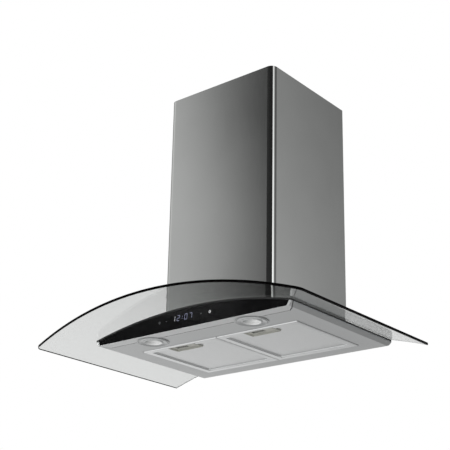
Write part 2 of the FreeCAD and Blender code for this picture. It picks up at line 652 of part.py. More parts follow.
def filter_frame(side):
    """Aluminium frame of a grease filter with two rear tabs and the cut-out for its latch cup."""
    x = filter_centre(side)
    half = FILTER_WIDTH / 2
    low = -FILTER_PROUD
    block = rounded_box(x - half, x + half, FILTER_FRONT_Y, FILTER_REAR_Y, low, FILTER_TOP, FILTER_CORNER)
    lower = [edge for edge in block.Edges if edge.BoundBox.ZMax < low + OVERCUT]
    block = block.makeFillet(FILTER_ROLL, lower)
    hollow = box(x - half + FILTER_WALL, x + half - FILTER_WALL, FILTER_FRONT_Y + FILTER_WALL,
                 FILTER_REAR_Y - FILTER_WALL, low + FILTER_WALL, FILTER_TOP - FILTER_WALL)
    window = box(x - half + FILTER_RIM, x + half - FILTER_RIM, FILTER_FRONT_Y + FILTER_RIM,
                 FILTER_REAR_Y - FILTER_RIM, low - OVERCUT, FILTER_TOP + OVERCUT)
    frame = block.cut(hollow).cut(window)
    frame = frame.cut(latch_cut_out(side, LATCH_FRONT_Y - SEAT_GAP, LATCH_CUP_TOP + SEAT_GAP))
    frame = frame.cut(tongue_slot(x, FILTER_FRONT_Y - OVERCUT, LATCH_FRONT_Y + OVERCUT))
    tabs = []
    for way in (-1, 1):
        middle = x + way * FILTER_TAB_SPACING / 2
        base = SHEET + MOVE_GAP
        tabs.append(box(middle - FILTER_TAB_WIDTH / 2, middle + FILTER_TAB_WIDTH / 2,
                        FILTER_REAR_Y - FILTER_WALL, FILTER_REAR_Y + FILTER_TAB_REACH,
                        base, base + FILTER_TAB_THICKNESS))
    return joined([frame] + tabs)


def latch_cut_out(side, front, top):
    """Room for the latch cup and for the open slot beside its right end."""
    x = filter_centre(side)
    half = LATCH_WIDTH / 2 + SEAT_GAP
    return box(x - half, x + half + LATCH_END_SLOT, front, LATCH_REAR_Y + SEAT_GAP,
               -FILTER_PROUD - OVERCUT, top)


def filter_mesh(side):
    """Pad of layered expanded aluminium held in the frame's channel, notched round the latch cup."""
    x = filter_centre(side)
    inset = FILTER_WALL + SEAT_GAP
    half = FILTER_WIDTH / 2 - inset
    low = -FILTER_PROUD + FILTER_WALL + MESH_INSET
    pad = box(x - half, x + half, FILTER_FRONT_Y + inset, FILTER_REAR_Y - inset, low, low + MESH_THICKNESS)
    return pad.cut(latch_cut_out(side, FILTER_FRONT_Y, low + MESH_THICKNESS + OVERCUT))


def tongue_slot(x, y0, y1):
    """Room for the latch's tongue through the walls in front of it."""
    half = LATCH_TONGUE_WIDTH / 2 + MOVE_GAP
    return box(x - half, x + half, y0, y1, LATCH_PLATE_Z - MOVE_GAP, LATCH_CHAMBER_TOP)


def key_slot_limits(side):
    """Left and right ends of the key's slot."""
    middle = filter_centre(side) + LATCH_SLOT_OFFSET
    return middle - LATCH_SLOT_WIDTH / 2, middle + LATCH_SLOT_WIDTH / 2


def latch_cup(side):
    """Shallow recess with a chamber for the slide above its ceiling. The ceiling is slotted for the key and
    the front wall for the tongue."""
    x = filter_centre(side)
    half = LATCH_WIDTH / 2
    inner = half - LATCH_WALL
    front, rear = LATCH_FRONT_Y + LATCH_WALL, LATCH_REAR_Y - LATCH_WALL
    x0, x1 = key_slot_limits(side)
    cup = box(x - half, x + half, LATCH_FRONT_Y, LATCH_REAR_Y, -FILTER_PROUD, LATCH_CUP_TOP)
    cup = cup.cut(box(x - inner, x + inner, front, rear, -FILTER_PROUD - OVERCUT, LATCH_CEILING_Z))
    cup = cup.cut(box(x - inner, x + inner, front, rear, LATCH_CEILING_Z + LATCH_CEILING, LATCH_CHAMBER_TOP))
    cup = cup.cut(box(x0, x1 + MOVE_GAP, LATCH_KEY_FRONT_Y - MOVE_GAP,
                      LATCH_KEY_REAR_Y + LATCH_TRAVEL + MOVE_GAP, -FILTER_PROUD, LATCH_PLATE_Z))
    return cup.cut(tongue_slot(x, LATCH_FRONT_Y - OVERCUT, front + OVERCUT))


def latch_slide(side):
    """Sprung slide: plate notched beside its key and for two springs, and a tongue to the edge of the
    opening."""
    x = filter_centre(side)
    low, top = LATCH_PLATE_Z, LATCH_PLATE_Z + LATCH_PLATE_THICKNESS
    front = LATCH_FRONT_Y + LATCH_WALL + MOVE_GAP
    rear = LATCH_SLIDE_REAR_Y
    x0, x1 = key_slot_limits(side)
    plate = box(x - LATCH_PLATE_WIDTH / 2, x + LATCH_PLATE_WIDTH / 2, front, rear, low, top)
    plate = plate.cut(box(x0, x1 - LATCH_KEY_WIDTH, LATCH_KEY_FRONT_Y, rear + OVERCUT,
                          low - OVERCUT, top + OVERCUT))
    pocket = LATCH_SPRING_RADIUS + SEAT_GAP
    for middle in spring_middles(side):
        plate = plate.cut(box(middle - pocket, middle + pocket, rear - LATCH_SPRING_POCKET, rear + OVERCUT,
                              low - OVERCUT, top + OVERCUT))
    key = box(x1 - LATCH_KEY_WIDTH, x1, LATCH_KEY_FRONT_Y, LATCH_KEY_REAR_Y, low - LATCH_KEY_HEIGHT, low)
    tip = FILTER_FRONT_Y - FILTER_GAP + MOVE_GAP
    tongue = box(x - LATCH_TONGUE_WIDTH / 2, x + LATCH_TONGUE_WIDTH / 2, tip, front, low, top)
    return joined([plate, key, tongue])


def spring_middles(side):
    """Where a latch's two return springs stand in X."""
    return [filter_centre(side) + way * LATCH_SPRING_SPACING / 2 for way in (-1, 1)]


def latch_spring(side):
    """Pair of small return springs in the slide's pockets, drawn as thin sleeves of the coils' size."""
    z = LATCH_PLATE_Z + LATCH_PLATE_THICKNESS / 2
    rear = LATCH_REAR_Y - LATCH_WALL - SEAT_GAP
    front = LATCH_SLIDE_REAR_Y - LATCH_SPRING_POCKET + SEAT_GAP
    coils = []
    for middle in spring_middles(side):
        coils.append(tube(LATCH_SPRING_RADIUS, LATCH_SPRING_RADIUS - LATCH_SPRING_WALL, (middle, front, z),
                          rear - front, Y_AXIS))
    return Part.makeCompound(coils)


# ---------------------------------------------------------------- chimney

def chimney_cover(inset, z0, z1):
    """Three-sided folded cover with return flanges along the wall."""
    half = CHIMNEY_WIDTH / 2 - inset
    front = -CHIMNEY_DEPTH + inset
    bend = CHIMNEY_BEND - inset
    outer = front_rounded(half, front, -inset, z0, z1, bend)
    inner = front_rounded(half - CHIMNEY_SHEET, front + CHIMNEY_SHEET, -inset - CHIMNEY_SHEET, z0, z1,
                          bend - CHIMNEY_SHEET)
    slot_half = half - CHIMNEY_FLANGE
    slot = box(-slot_half, slot_half, -inset - CHIMNEY_SHEET - OVERCUT, OVERCUT, z0, z1)
    return outer.cut(inner).cut(slot)


def front_rounded(half, front, back, z0, z1, radius):
    """Block whose two front upright edges are rounded."""
    block = box(-half, half, front, back, z0, z1)
    upright = []
    for edge in block.Edges:
        if abs(edge.tangentAt(edge.FirstParameter).z) > 0.99 and abs(edge.CenterOfMass.y - front) < 0.01:
            upright.append(edge)
    return block.makeFillet(radius, upright)


def chimney_outer():
    """Lower chimney cover, cut to the curve of the glass along its foot."""
    cover = chimney_cover(0, 0, CHIMNEY_TOP)
    return cover.cut(barrel(GLASS_OUTER_RADIUS + CHIMNEY_OVER_GLASS))


def chimney_inner():
    """Upper chimney cover, pushed down inside the lower one."""
    return chimney_cover(CHIMNEY_SHEET + CHIMNEY_SLIDE_GAP, INNER_CHIMNEY_FOOT, INNER_CHIMNEY_TOP)


def upper_bracket_rear():
    """Rear face of the bracket's wings, just in front of the upper cover's return flanges."""
    return -(2 * CHIMNEY_SHEET + CHIMNEY_SLIDE_GAP + SEAT_GAP)


def upper_wall_bracket():
    """Bracket inside the top of the upper cover: a strip on the wall, stepped forward round the cover's
    return flanges, with an arm at each end."""
    half = upper_bracket_half()
    strip_half = CHIMNEY_WIDTH / 2 - CHIMNEY_FLANGE - UPPER_BRACKET_CLEAR
    top = INNER_CHIMNEY_TOP - UPPER_BRACKET_DROP
    low = top - UPPER_BRACKET_HEIGHT
    rear = upper_bracket_rear()
    sheet = UPPER_BRACKET_SHEET
    pieces = [box(-strip_half, strip_half, -sheet, 0, low, top)]
    for side in (-1, 1):
        pieces.append(between(side * strip_half, side * (strip_half - sheet), rear - sheet, 0, low, top))
        pieces.append(between(side * (strip_half - sheet), side * half, rear - sheet, rear, low, top))
        pieces.append(between(side * half, side * (half - sheet), rear - UPPER_BRACKET_ARM, rear, low, top))
    bracket = joined(pieces)
    for side in (-1, 1):
        hole = (side * UPPER_BRACKET_HOLE_SPACING / 2, -sheet - OVERCUT, (low + top) / 2)
        bracket = bracket.cut(cylinder(HANGER_HOLE_RADIUS, hole, sheet + 2 * OVERCUT, Y_AXIS))
        bracket = bracket.cut(cylinder(SMALL_SCREW_RADIUS + SEAT_GAP, upper_screw_point(side, -2 * sheet),
                                       4 * sheet, X_AXIS))
    return bracket


def upper_bracket_half():
    """Half the width over the bracket's arms, just inside the upper cover."""
    return CHIMNEY_WIDTH / 2 - 2 * CHIMNEY_SHEET - CHIMNEY_SLIDE_GAP - SEAT_GAP


def upper_screw_point(side, offset):
    """Point on the axis of the screw that holds an arm of the upper bracket."""
    z = INNER_CHIMNEY_TOP - UPPER_BRACKET_DROP - UPPER_BRACKET_HEIGHT / 2
    return (side * upper_bracket_half() + offset, upper_bracket_rear() - UPPER_SCREW_SETBACK, z)


def upper_bracket_screws():
    """Two screws from inside the upper cover through the bracket's arms."""
    screws = []
    for side in (-1, 1):
        base = upper_screw_point(side, -side * (UPPER_BRACKET_SHEET + SEAT_GAP))
        screws.append(screw(base, Vector(side, 0, 0), UPPER_BRACKET_SHEET + SEAT_GAP))
    return Part.makeCompound(screws)


# ---------------------------------------------------------------- wall hanger and cradle

def wall_hanger():
    """Wall plate with four bolt holes and an upturned hook along its top for the cradle."""
    half = HANGER_WIDTH / 2
    low = HANGER_HEIGHT - HANGER_PLATE_HEIGHT / 2
    top = HANGER_TOP
    plate = box(-half, half, -HANGER_SHEET, 0, low, top)
    reach = HANGER_SHEET + HANGER_HOOK_REACH
    shelf = box(-half, half, -reach, 0, top - HANGER_SHEET, top)
    lip = box(-half, half, -reach, -reach + HANGER_SHEET, top - HANGER_SHEET, top + HANGER_LIP)
    hanger = joined([plate, shelf, lip])
    for x in (-HANGER_HOLE_SPACING_X / 2, HANGER_HOLE_SPACING_X / 2):
        for z in (-HANGER_HOLE_SPACING_Z / 2, HANGER_HOLE_SPACING_Z / 2):
            hanger = hanger.cut(cylinder(HANGER_HOLE_RADIUS, (x, -HANGER_SHEET - OVERCUT, HANGER_HEIGHT + z),
                                         HANGER_SHEET + 2 * OVERCUT, Y_AXIS))
    return hanger


def cradle_half_width():
    """Half the cradle's width, just inside the lower chimney cover."""
    return CHIMNEY_WIDTH / 2 - CHIMNEY_SHEET - CRADLE_SIDE_CLEAR


def blower_cradle():
    """Folded steel cradle: base over the air frame, side walls, back wall with a lip over the hanger."""
    half = cradle_half_width()
    sheet = CRADLE_SHEET
    front = -CHIMNEY_DEPTH + CHIMNEY_SHEET + CRADLE_SIDE_CLEAR
    hook_front = -(HANGER_SHEET + HANGER_HOOK_REACH) - SEAT_GAP
    back_front = hook_front - sheet
    base = box(-half, half, front, hook_front, CRADLE_BASE_Z, CRADLE_TOP)
    back_half = HANGER_WIDTH / 2 - CRADLE_BACK_INSET
    hook_top = HANGER_TOP + HANGER_LIP + SEAT_GAP
    back = box(-back_half, back_half, back_front, hook_front, CRADLE_BASE_Z, hook_top + sheet)
    lip = box(-back_half, back_half, back_front, -HANGER_SHEET - SEAT_GAP, hook_top, hook_top + sheet)
    turned = box(-back_half, back_half, -HANGER_SHEET - SEAT_GAP - sheet, -HANGER_SHEET - SEAT_GAP,
                 hook_top - CRADLE_HOOK_DROP, hook_top + sheet)
    pieces = [base, back, lip, turned]
    for side in (-1, 1):
        pieces.append(between(side * half, side * (half - sheet), front, hook_front, CRADLE_BASE_Z,
                              CRADLE_BASE_Z + CRADLE_SIDE_HEIGHT))
    cradle = joined(pieces)
    corners = front_rounded(half, front, OVERCUT, CRADLE_BASE_Z - OVERCUT, BIG, CHIMNEY_BEND - CHIMNEY_SHEET)
    cradle = cradle.common(corners)
    cradle = cradle.cut(spigot(-SHEET, CRADLE_BASE_Z - OVERCUT, CRADLE_TOP + OVERCUT))
    for x, y in clamp_points():
        cradle = cradle.cut(cylinder(CLAMP_SCREW_RADIUS + SEAT_GAP, (x, y, CRADLE_BASE_Z - OVERCUT),
                                     sheet + 2 * OVERCUT))
    return cradle


def glass_grommets():
    """Four rubber grommets that keep the glass off the screws and off the steel."""
    rings = []
    for x, y in clamp_points():
        low = arc_z(BODY_RADIUS, abs(x) - GROMMET_FLANGE_RADIUS) + SEAT_GAP
        column = tube(GLASS_HOLE_RADIUS - SEAT_GAP, CLAMP_SCREW_RADIUS + SEAT_GAP, (x, y, low),
                      CRADLE_BASE_Z - SEAT_GAP - low)
        foot = arc_z(GLASS_OUTER_RADIUS, abs(x) - GROMMET_FLANGE_RADIUS) + SEAT_GAP
        flange = tube(GROMMET_FLANGE_RADIUS, CLAMP_SCREW_RADIUS + SEAT_GAP, (x, y, foot),
                      CRADLE_BASE_Z - SEAT_GAP - foot)
        rings.append(column.fuse(flange))
    return Part.makeCompound(rings)


def glass_clamp_screws():
    """Four screws up through the top cover, the glass and the cradle, each with a nut."""
    screws = []
    for x, y in clamp_points():
        low = arc_z(BODY_RADIUS - SHEET, abs(x) + CLAMP_HEAD_RADIUS) - SEAT_GAP
        top = CRADLE_TOP + SEAT_GAP
        length = top + CLAMP_NUT_HEIGHT + CLAMP_SCREW_PROUD - low
        body = screw((x, y, low), Z_AXIS, length, CLAMP_SCREW_RADIUS, CLAMP_HEAD_RADIUS, CLAMP_HEAD_HEIGHT)
        nut = cylinder(CLAMP_HEAD_RADIUS, (x, y, top), CLAMP_NUT_HEIGHT)
        screws.append(body.fuse(nut))
    return Part.makeCompound(screws)


# ---------------------------------------------------------------- blower

def scroll_outline(offset=0.0):
    """Spiral of quarter turns round the impeller that opens upwards into the outlet on the right."""
    step = SCROLL_STEP
    start = SCROLL_START_RADIUS + offset
    outlet_top = SCROLL_OUTLET_Z - BLOWER_AXIS_Z
    quarters = [(start, step / 2, step / 2), (start + step, step / 2, -step / 2),
                (start + 2 * step, -step / 2, -step / 2)]
    tongue = Vector(step / 2, 0, step / 2 + start)
    edges = []
    point = tongue
    for turn, (radius, x, z) in enumerate(quarters):
        half_way = math.pi / 2 * (turn + 1.5)
        full_way = math.pi / 2 * (turn + 2)
        middle = Vector(x + radius * math.cos(half_way), 0, z + radius * math.sin(half_way))
        end = Vector(x + radius * math.cos(full_way), 0, z + radius * math.sin(full_way))
        edges.append(Part.Arc(point, middle, end).toShape())
        point = end
    outer_top = Vector(point.x, 0, outlet_top)
    inner_top = Vector(tongue.x, 0, outlet_top)
    edges.append(Part.LineSegment(point, outer_top).toShape())
    edges.append(Part.LineSegment(outer_top, inner_top).toShape())
    edges.append(Part.LineSegment(inner_top, tongue).toShape())
    return edges


def scroll_half(rear):
    """One half of the scroll housing: side sheet with its inlet, wrapper and joint flange."""
    middle = BLOWER_CENTRE_Y
    wall = SCROLL_WALL
    face = BLOWER_REAR_Y if rear else BLOWER_FRONT_Y
    y0, y1 = (middle + SEAT_GAP / 2, face) if rear else (face, middle - SEAT_GAP / 2)
    solid = prism_y(scroll_outline(), y0, y1)
    inner_wire = Part.Wire(scroll_outline()).makeOffset2D(-wall)
    inner_y0, inner_y1 = (y0 - OVERCUT, y1 - wall) if rear else (y0 + wall, y1 + OVERCUT)
    inner_face = Part.Face(inner_wire)
    inner_face.translate(Vector(0, inner_y0, 0))
    cavity = inner_face.extrude(Vector(0, inner_y1 - inner_y0, 0))
    open_top = outlet_block(wall, inner_y0, inner_y1)
    inlet = cylinder(INLET_RADIUS, (0, face - 2 * wall, 0), 4 * wall, Y_AXIS)
    shell = solid.cut(cavity).cut(open_top).cut(inlet)
    flange_y = (y0, y0 + wall) if rear else (y1 - wall, y1)
    flange_face = Part.Face(Part.Wire(scroll_outline()).makeOffset2D(SCROLL_FLANGE))
    flange_face.translate(Vector(0, flange_y[0], 0))
    flange = flange_face.extrude(Vector(0, wall, 0))
    flange = flange.cut(prism_y(scroll_outline(), flange_y[0] - OVERCUT, flange_y[1] + OVERCUT))
    flange = flange.common(box(-BIG, BIG, -BIG, BIG, CRADLE_TOP + SEAT_GAP - BLOWER_AXIS_Z,
                               SCROLL_OUTLET_Z - BLOWER_AXIS_Z))
    half = joined([shell, flange])
    return moved(half, BLOWER_CENTRE_X, 0, BLOWER_AXIS_Z)


def outlet_limits():
    """Left and right walls of the scroll's outlet, outside faces."""
    left = SCROLL_STEP / 2
    right = -SCROLL_STEP / 2 + SCROLL_START_RADIUS + 2 * SCROLL_STEP
    return left, right


def outlet_block(wall, y0, y1):
    """Block that opens the top of the scroll."""
    left, right = outlet_limits()
    top = SCROLL_OUTLET_Z - BLOWER_AXIS_Z
    return box(left + wall, right - wall, y0, y1, top - 2 * wall, top + wall)


def impeller():
    """Double-inlet squirrel-cage wheel: centre disc with hub, blades in a ring, end rings."""
    start = BLOWER_CENTRE_Y - IMPELLER_WIDTH / 2
    inner = IMPELLER_RADIUS - IMPELLER_BLADE_DEPTH
    face = (0, BLOWER_CENTRE_Y - IMPELLER_DISC / 2, 0)
    disc = cylinder(IMPELLER_RADIUS - IMPELLER_DISC_INSET, face, IMPELLER_DISC, Y_AXIS)
    hub = cylinder(HUB_RADIUS, face, HUB_LENGTH, Y_AXIS)
    pieces = [disc, hub]
    for y in (start, start + IMPELLER_WIDTH - IMPELLER_RING_HEIGHT):
        pieces.append(tube(IMPELLER_RADIUS, IMPELLER_RADIUS - IMPELLER_RING_WALL, (0, y, 0),
                           IMPELLER_RING_HEIGHT, Y_AXIS))
    tip = IMPELLER_RADIUS - IMPELLER_BLADE_INSET
    blade = box(inner, tip, start, start + IMPELLER_WIDTH,
                -IMPELLER_BLADE_THICKNESS / 2, IMPELLER_BLADE_THICKNESS / 2)
    blade.rotate(Vector(tip, 0, 0), Y_AXIS, IMPELLER_BLADE_ANGLE)
    for turn in range(IMPELLER_BLADE_COUNT):
        copy = blade.copy()
        copy.rotate(Vector(0, 0, 0), Y_AXIS, 360.0 * turn / IMPELLER_BLADE_COUNT)
        pieces.append(copy)
    wheel = joined(pieces)
    wheel = wheel.cut(cylinder(SHAFT_RADIUS + PRESS_GAP, (0, start, 0), IMPELLER_WIDTH, Y_AXIS))
    return moved(wheel, BLOWER_CENTRE_X, 0, BLOWER_AXIS_Z)


def motor_shaft():
    """Steel shaft from the motor into the wheel's hub."""
    start = motor_front_y() + MOTOR_LENGTH / 2
    end = BLOWER_CENTRE_Y + HUB_LENGTH - IMPELLER_DISC / 2 + SHAFT_PROUD
    return cylinder(SHAFT_RADIUS, (BLOWER_CENTRE_X, start, BLOWER_AXIS_Z), end - start, Y_AXIS)


def motor_front_y():
    """Front face of the motor."""
    return BLOWER_FRONT_Y - MOTOR_PROUD


def motor():
    """Round motor in the front inlet with a stepped nose and the bore for its shaft."""
    front = motor_front_y()
    can = cylinder(MOTOR_RADIUS, (0, front, 0), MOTOR_LENGTH, Y_AXIS)
    can = can.makeFillet(MOTOR_EDGE_ROUND, [edge for edge in can.Edges if edge.Length > 6 * MOTOR_RADIUS])
    boss = cylinder(MOTOR_BOSS_RADIUS, (0, front + MOTOR_LENGTH - OVERCUT, 0), MOTOR_BOSS_LENGTH + OVERCUT,
                    Y_AXIS)
    body = can.fuse(boss)
    bore = cylinder(SHAFT_RADIUS + RUNNING_GAP, (0, front + MOTOR_LENGTH / 2 - OVERCUT, 0), MOTOR_LENGTH,
                    Y_AXIS)
    body = body.cut(bore)
    return moved(body, BLOWER_CENTRE_X, 0, BLOWER_AXIS_Z)


def motor_bracket():
    """Ring round the motor with arms out to the front sheet of the scroll."""
    rear = BLOWER_FRONT_Y - SEAT_GAP
    sheet = MOTOR_ARM_SHEET
    ring = tube(MOTOR_RADIUS + MOTOR_RING_WALL, MOTOR_RADIUS + SEAT_GAP, (0, rear - MOTOR_RING_DEPTH, 0),
                MOTOR_RING_DEPTH, Y_AXIS)
    pieces = [ring]
    root = MOTOR_RADIUS + MOTOR_RING_WALL / 2
    reach = MOTOR_ARM_CIRCLE + MOTOR_ARM_END
    for turn in range(MOTOR_ARM_COUNT):
        arm = box(root, reach, rear - sheet, rear, -MOTOR_ARM_WIDTH / 2, MOTOR_ARM_WIDTH / 2)
        arm = arm.cut(cylinder(SMALL_SCREW_RADIUS + SEAT_GAP, (MOTOR_ARM_CIRCLE, rear - sheet - OVERCUT, 0),
                               sheet + 2 * OVERCUT, Y_AXIS))
        arm.rotate(Vector(0, 0, 0), Y_AXIS, motor_arm_angle(turn))
        pieces.append(arm)
    return moved(joined(pieces), BLOWER_CENTRE_X, 0, BLOWER_AXIS_Z)


def motor_arm_angle(turn):
    """Angle of an arm about the Y axis in degrees."""
    return MOTOR_FIRST_ARM + 360.0 * turn / MOTOR_ARM_COUNT


def motor_screws():
    """Screws through the arms into the scroll's front sheet."""
    screws = []
    base_y = BLOWER_FRONT_Y - SEAT_GAP - MOTOR_ARM_SHEET - SEAT_GAP
    for turn in range(MOTOR_ARM_COUNT):
        one = screw((MOTOR_ARM_CIRCLE, base_y, 0), Y_AXIS, MOTOR_ARM_SHEET + SEAT_GAP)
        one.rotate(Vector(0, 0, 0), Y_AXIS, motor_arm_angle(turn))
        screws.append(moved(one, BLOWER_CENTRE_X, 0, BLOWER_AXIS_Z))
    return Part.makeCompound(screws)


def blower_rail():
    """Angle rail across the air opening; its upright follows the scroll and carries the joint flange."""
    low = CRADLE_TOP + SEAT_GAP
    front = BLOWER_CENTRE_Y + SEAT_GAP / 2 + SCROLL_WALL + SEAT_GAP
    rear = front + CRADLE_SHEET
    half = SPIGOT_WIDTH / 2 + BLOWER_RAIL_OVERLAP
    upright = box(-half, half, front, rear, low, low + BLOWER_RAIL_HEIGHT)
    scroll = moved(prism_y(scroll_outline(SEAT_GAP), front - OVERCUT, rear + OVERCUT), BLOWER_CENTRE_X, 0,
                   BLOWER_AXIS_Z)
    sole = box(-half, half, front, front + BLOWER_RAIL_DEPTH, low, low + CRADLE_SHEET)
    return joined([upright.cut(scroll), sole])


def outlet_centre_x():
    """Middle of the scroll's outlet and of the collar on it."""
    left, right = outlet_limits()
    return BLOWER_CENTRE_X + (left + right) / 2


# ---------------------------------------------------------------- outlet collar

def outlet_collar():
    """Plastic adapter on the scroll: base flange, round collar, ledge and pivot holes for the flaps."""
    base = COLLAR_Z
    x = outlet_centre_x()
    y = BLOWER_CENTRE_Y
    flange_half = COLLAR_RADIUS + COLLAR_FLANGE
    flange = rounded_box(x - flange_half, x + flange_half, y - flange_half, y + flange_half,
                         base, base + COLLAR_BASE_HEIGHT, COLLAR_FLANGE_CORNER)
    whole = flange.fuse(cylinder(COLLAR_RADIUS, (x, y, base), COLLAR_HEIGHT))
    bore = COLLAR_RADIUS - COLLAR_WALL
    whole = whole.cut(cylinder(bore - COLLAR_LEDGE, (x, y, base - OVERCUT), COLLAR_HEIGHT + 2 * OVERCUT))
    whole = whole.cut(cylinder(bore, (x, y, flap_low_z() - MOVE_GAP), COLLAR_HEIGHT))
    for side in (-1, 1):
        whole = whole.cut(cylinder(FLAP_PIN_RADIUS + RUNNING_GAP,
                                   (x + side * FLAP_PIVOT_X, y - COLLAR_RADIUS - OVERCUT, flap_pivot_z()),
                                   2 * (COLLAR_RADIUS + OVERCUT), Y_AXIS))
    return whole


def flap_pivot_z():
    """Height of the flaps' pivots."""
    return COLLAR_Z + FLAP_PIVOT_HEIGHT


def flap_low_z():
    """Underside of a closed flap."""
    return flap_pivot_z() - FLAP_THICKNESS / 2


def damper_flap(side):
    """Half-round flap with a barrel along its straight edge and a pivot pin at each end."""
    centre = outlet_centre_x()
    pivot_x = centre + side * FLAP_PIVOT_X
    z = flap_pivot_z()
    radius = COLLAR_RADIUS - COLLAR_WALL - FLAP_ROUND_GAP
    disc = cylinder(radius, (centre, BLOWER_CENTRE_Y, flap_low_z()), FLAP_THICKNESS)
    plate = disc.common(between(pivot_x, side * BIG, -BIG, BIG, 0, BIG))
    knuckle = COLLAR_RADIUS - COLLAR_WALL - COLLAR_LEDGE - FLAP_KNUCKLE_GAP
    rod = cylinder(FLAP_BARREL_RADIUS, (pivot_x, BLOWER_CENTRE_Y - knuckle, z), 2 * knuckle, Y_AXIS)
    pin_half = COLLAR_RADIUS - SEAT_GAP
    pin = cylinder(FLAP_PIN_RADIUS, (pivot_x, BLOWER_CENTRE_Y - pin_half, z), 2 * pin_half, Y_AXIS)
    return joined([plate, rod, pin])


# ---------------------------------------------------------------- electrics

def power_box_limits():
    """Corner coordinates of the power box."""
    front = -CHIMNEY_DEPTH + CHIMNEY_SHEET + POWER_BOX_FRONT_GAP
    low = CRADLE_TOP + SEAT_GAP
    left = POWER_BOX_CENTRE_X - POWER_BOX_WIDTH / 2
    return left, left + POWER_BOX_WIDTH, front, front + POWER_BOX_DEPTH, low, low + POWER_BOX_HEIGHT


def power_box():
    """Open-topped steel box for the power board."""
    x0, x1, y0, y1, z0, z1 = power_box_limits()
    wall = POWER_BOX_WALL
    outer = box(x0, x1, y0, y1, z0, z1 - wall)
    return outer.cut(box(x0 + wall, x1 - wall, y0 + wall, y1 - wall, z0 + wall, z1))


def power_box_lid():
    """Flat lid with the gland's hole."""
    x0, x1, y0, y1, z0, z1 = power_box_limits()
    gx, gy = gland_point()
    lid = box(x0, x1, y0, y1, z1 - POWER_BOX_WALL + SEAT_GAP, z1 + SEAT_GAP)
    return lid.cut(cylinder(GLAND_RADIUS + SEAT_GAP, (gx, gy, z1 - POWER_BOX_WALL - OVERCUT),
                            POWER_BOX_WALL + 2 * OVERCUT + SEAT_GAP))


def gland_point():
    """Middle of the cable gland in plan."""
    x0, x1, y0, y1, z0, z1 = power_box_limits()
    return x0 + GLAND_INSET, (y0 + y1) / 2


def power_board():
    """Circuit board in the power box with its transformer block."""
    x0, x1, y0, y1, z0, z1 = power_box_limits()
    wall = POWER_BOX_WALL
    low = z0 + wall + SEAT_GAP
    top = low + TOUCH_BOARD_THICKNESS
    end = wall + POWER_BOARD_END_GAP
    edge = wall + POWER_BOARD_SIDE_GAP
    board = box(x0 + end, x1 - end, y0 + edge, y1 - edge, low, top)
    block_end = x1 - TRANSFORMER_END_GAP
    block = box(block_end - TRANSFORMER_WIDTH, block_end, y0 + TRANSFORMER_SIDE_GAP,
                y1 - TRANSFORMER_SIDE_GAP, top, top + TRANSFORMER_HEIGHT)
    return joined([board, block])


def cable_gland():
    """Screwed gland for the mains cable."""
    gx, gy = gland_point()
    z1 = power_box_limits()[5] + SEAT_GAP
    sleeve = cylinder(GLAND_RADIUS, (gx, gy, z1 - GLAND_TAIL), GLAND_LENGTH)
    nut = cylinder(GLAND_NUT_RADIUS, (gx, gy, z1 + SEAT_GAP), GLAND_NUT_HEIGHT)
    bore = cylinder(GLAND_BORE_RADIUS, (gx, gy, z1 - GLAND_TAIL - OVERCUT), GLAND_LENGTH + 2 * OVERCUT)
    return joined([sleeve, nut]).cut(bore)


def capacitor():
    """Motor run capacitor standing on the cradle."""
    front = power_box_limits()[2]
    x = cradle_half_width() - CAPACITOR_FROM_SIDE
    y = front + CAPACITOR_RADIUS
    low = CRADLE_TOP + SEAT_GAP
    can = cylinder(CAPACITOR_RADIUS, (x, y, low), CAPACITOR_HEIGHT)
    stud = cylinder(CAPACITOR_STUD_RADIUS, (x, y, low), CAPACITOR_HEIGHT + CAPACITOR_STUD_HEIGHT)
    return joined([can, stud])


# ---------------------------------------------------------------- export

def pieces():
    """Every piece by node name."""
    named = {
        "glass_canopy": glass_canopy(),
        "glass_gasket": glass_gasket(),
        "canopy_tray": canopy_tray(),
        "top_cover": top_cover(),
        "air_frame": air_frame(),
        "fascia_frame": fascia_frame(),
        "fascia_glass": fascia_glass(),
        "display_module": display_module(),
        "touch_board": touch_board(),
        "chimney_outer": chimney_outer(),
        "chimney_inner": chimney_inner(),
        "upper_wall_bracket": upper_wall_bracket(),
        "upper_bracket_screws": upper_bracket_screws(),
        "wall_hanger": wall_hanger(),
        "blower_cradle": blower_cradle(),
        "glass_grommets": glass_grommets(),
        "glass_clamp_screws": glass_clamp_screws(),
        "scroll_front": scroll_half(rear=False),
        "scroll_rear": scroll_half(rear=True),
        "impeller": impeller(),
        "motor_shaft": motor_shaft(),
        "motor": motor(),
        "motor_bracket": motor_bracket(),
        "motor_screws": motor_screws(),
        "blower_rail": blower_rail(),
        "outlet_collar": outlet_collar(),
        "power_box": power_box(),
        "power_box_lid": power_box_lid(),
        "power_board": power_board(),
        "cable_gland": cable_gland(),
        "capacitor": capacitor(),
    }
    for name, side in (("left", -1), ("right", 1)):
        named["lamp_bezel_" + name] = lamp_bezel(side)
        named["lamp_lens_" + name] = lamp_lens(side)
        named["lamp_housing_" + name] = lamp_housing(side)
        named["lamp_led_" + name] = lamp_led(side)
        named["filter_frame_" + name] = filter_frame(side)
        named["filter_mesh_" + name] = filter_mesh(side)
        named["latch_cup_" + name] = latch_cup(side)
        named["latch_slide_" + name] = latch_slide(side)
        named["latch_springs_" + name] = latch_spring(side)
        named["damper_flap_" + name] = damper_flap(side)
    return named


def main():
    """Write one file per piece."""
    os.makedirs("parts", exist_ok=True)
    for name, shape in pieces().items():
        shape.translate(Vector(0, 0, -HANGER_HEIGHT))
        if not shape.isValid():
            print("not valid:", name)
        print(name, len(shape.Solids), round(shape.Volume))
        shape.exportStep("parts/" + name + ".step")


main()
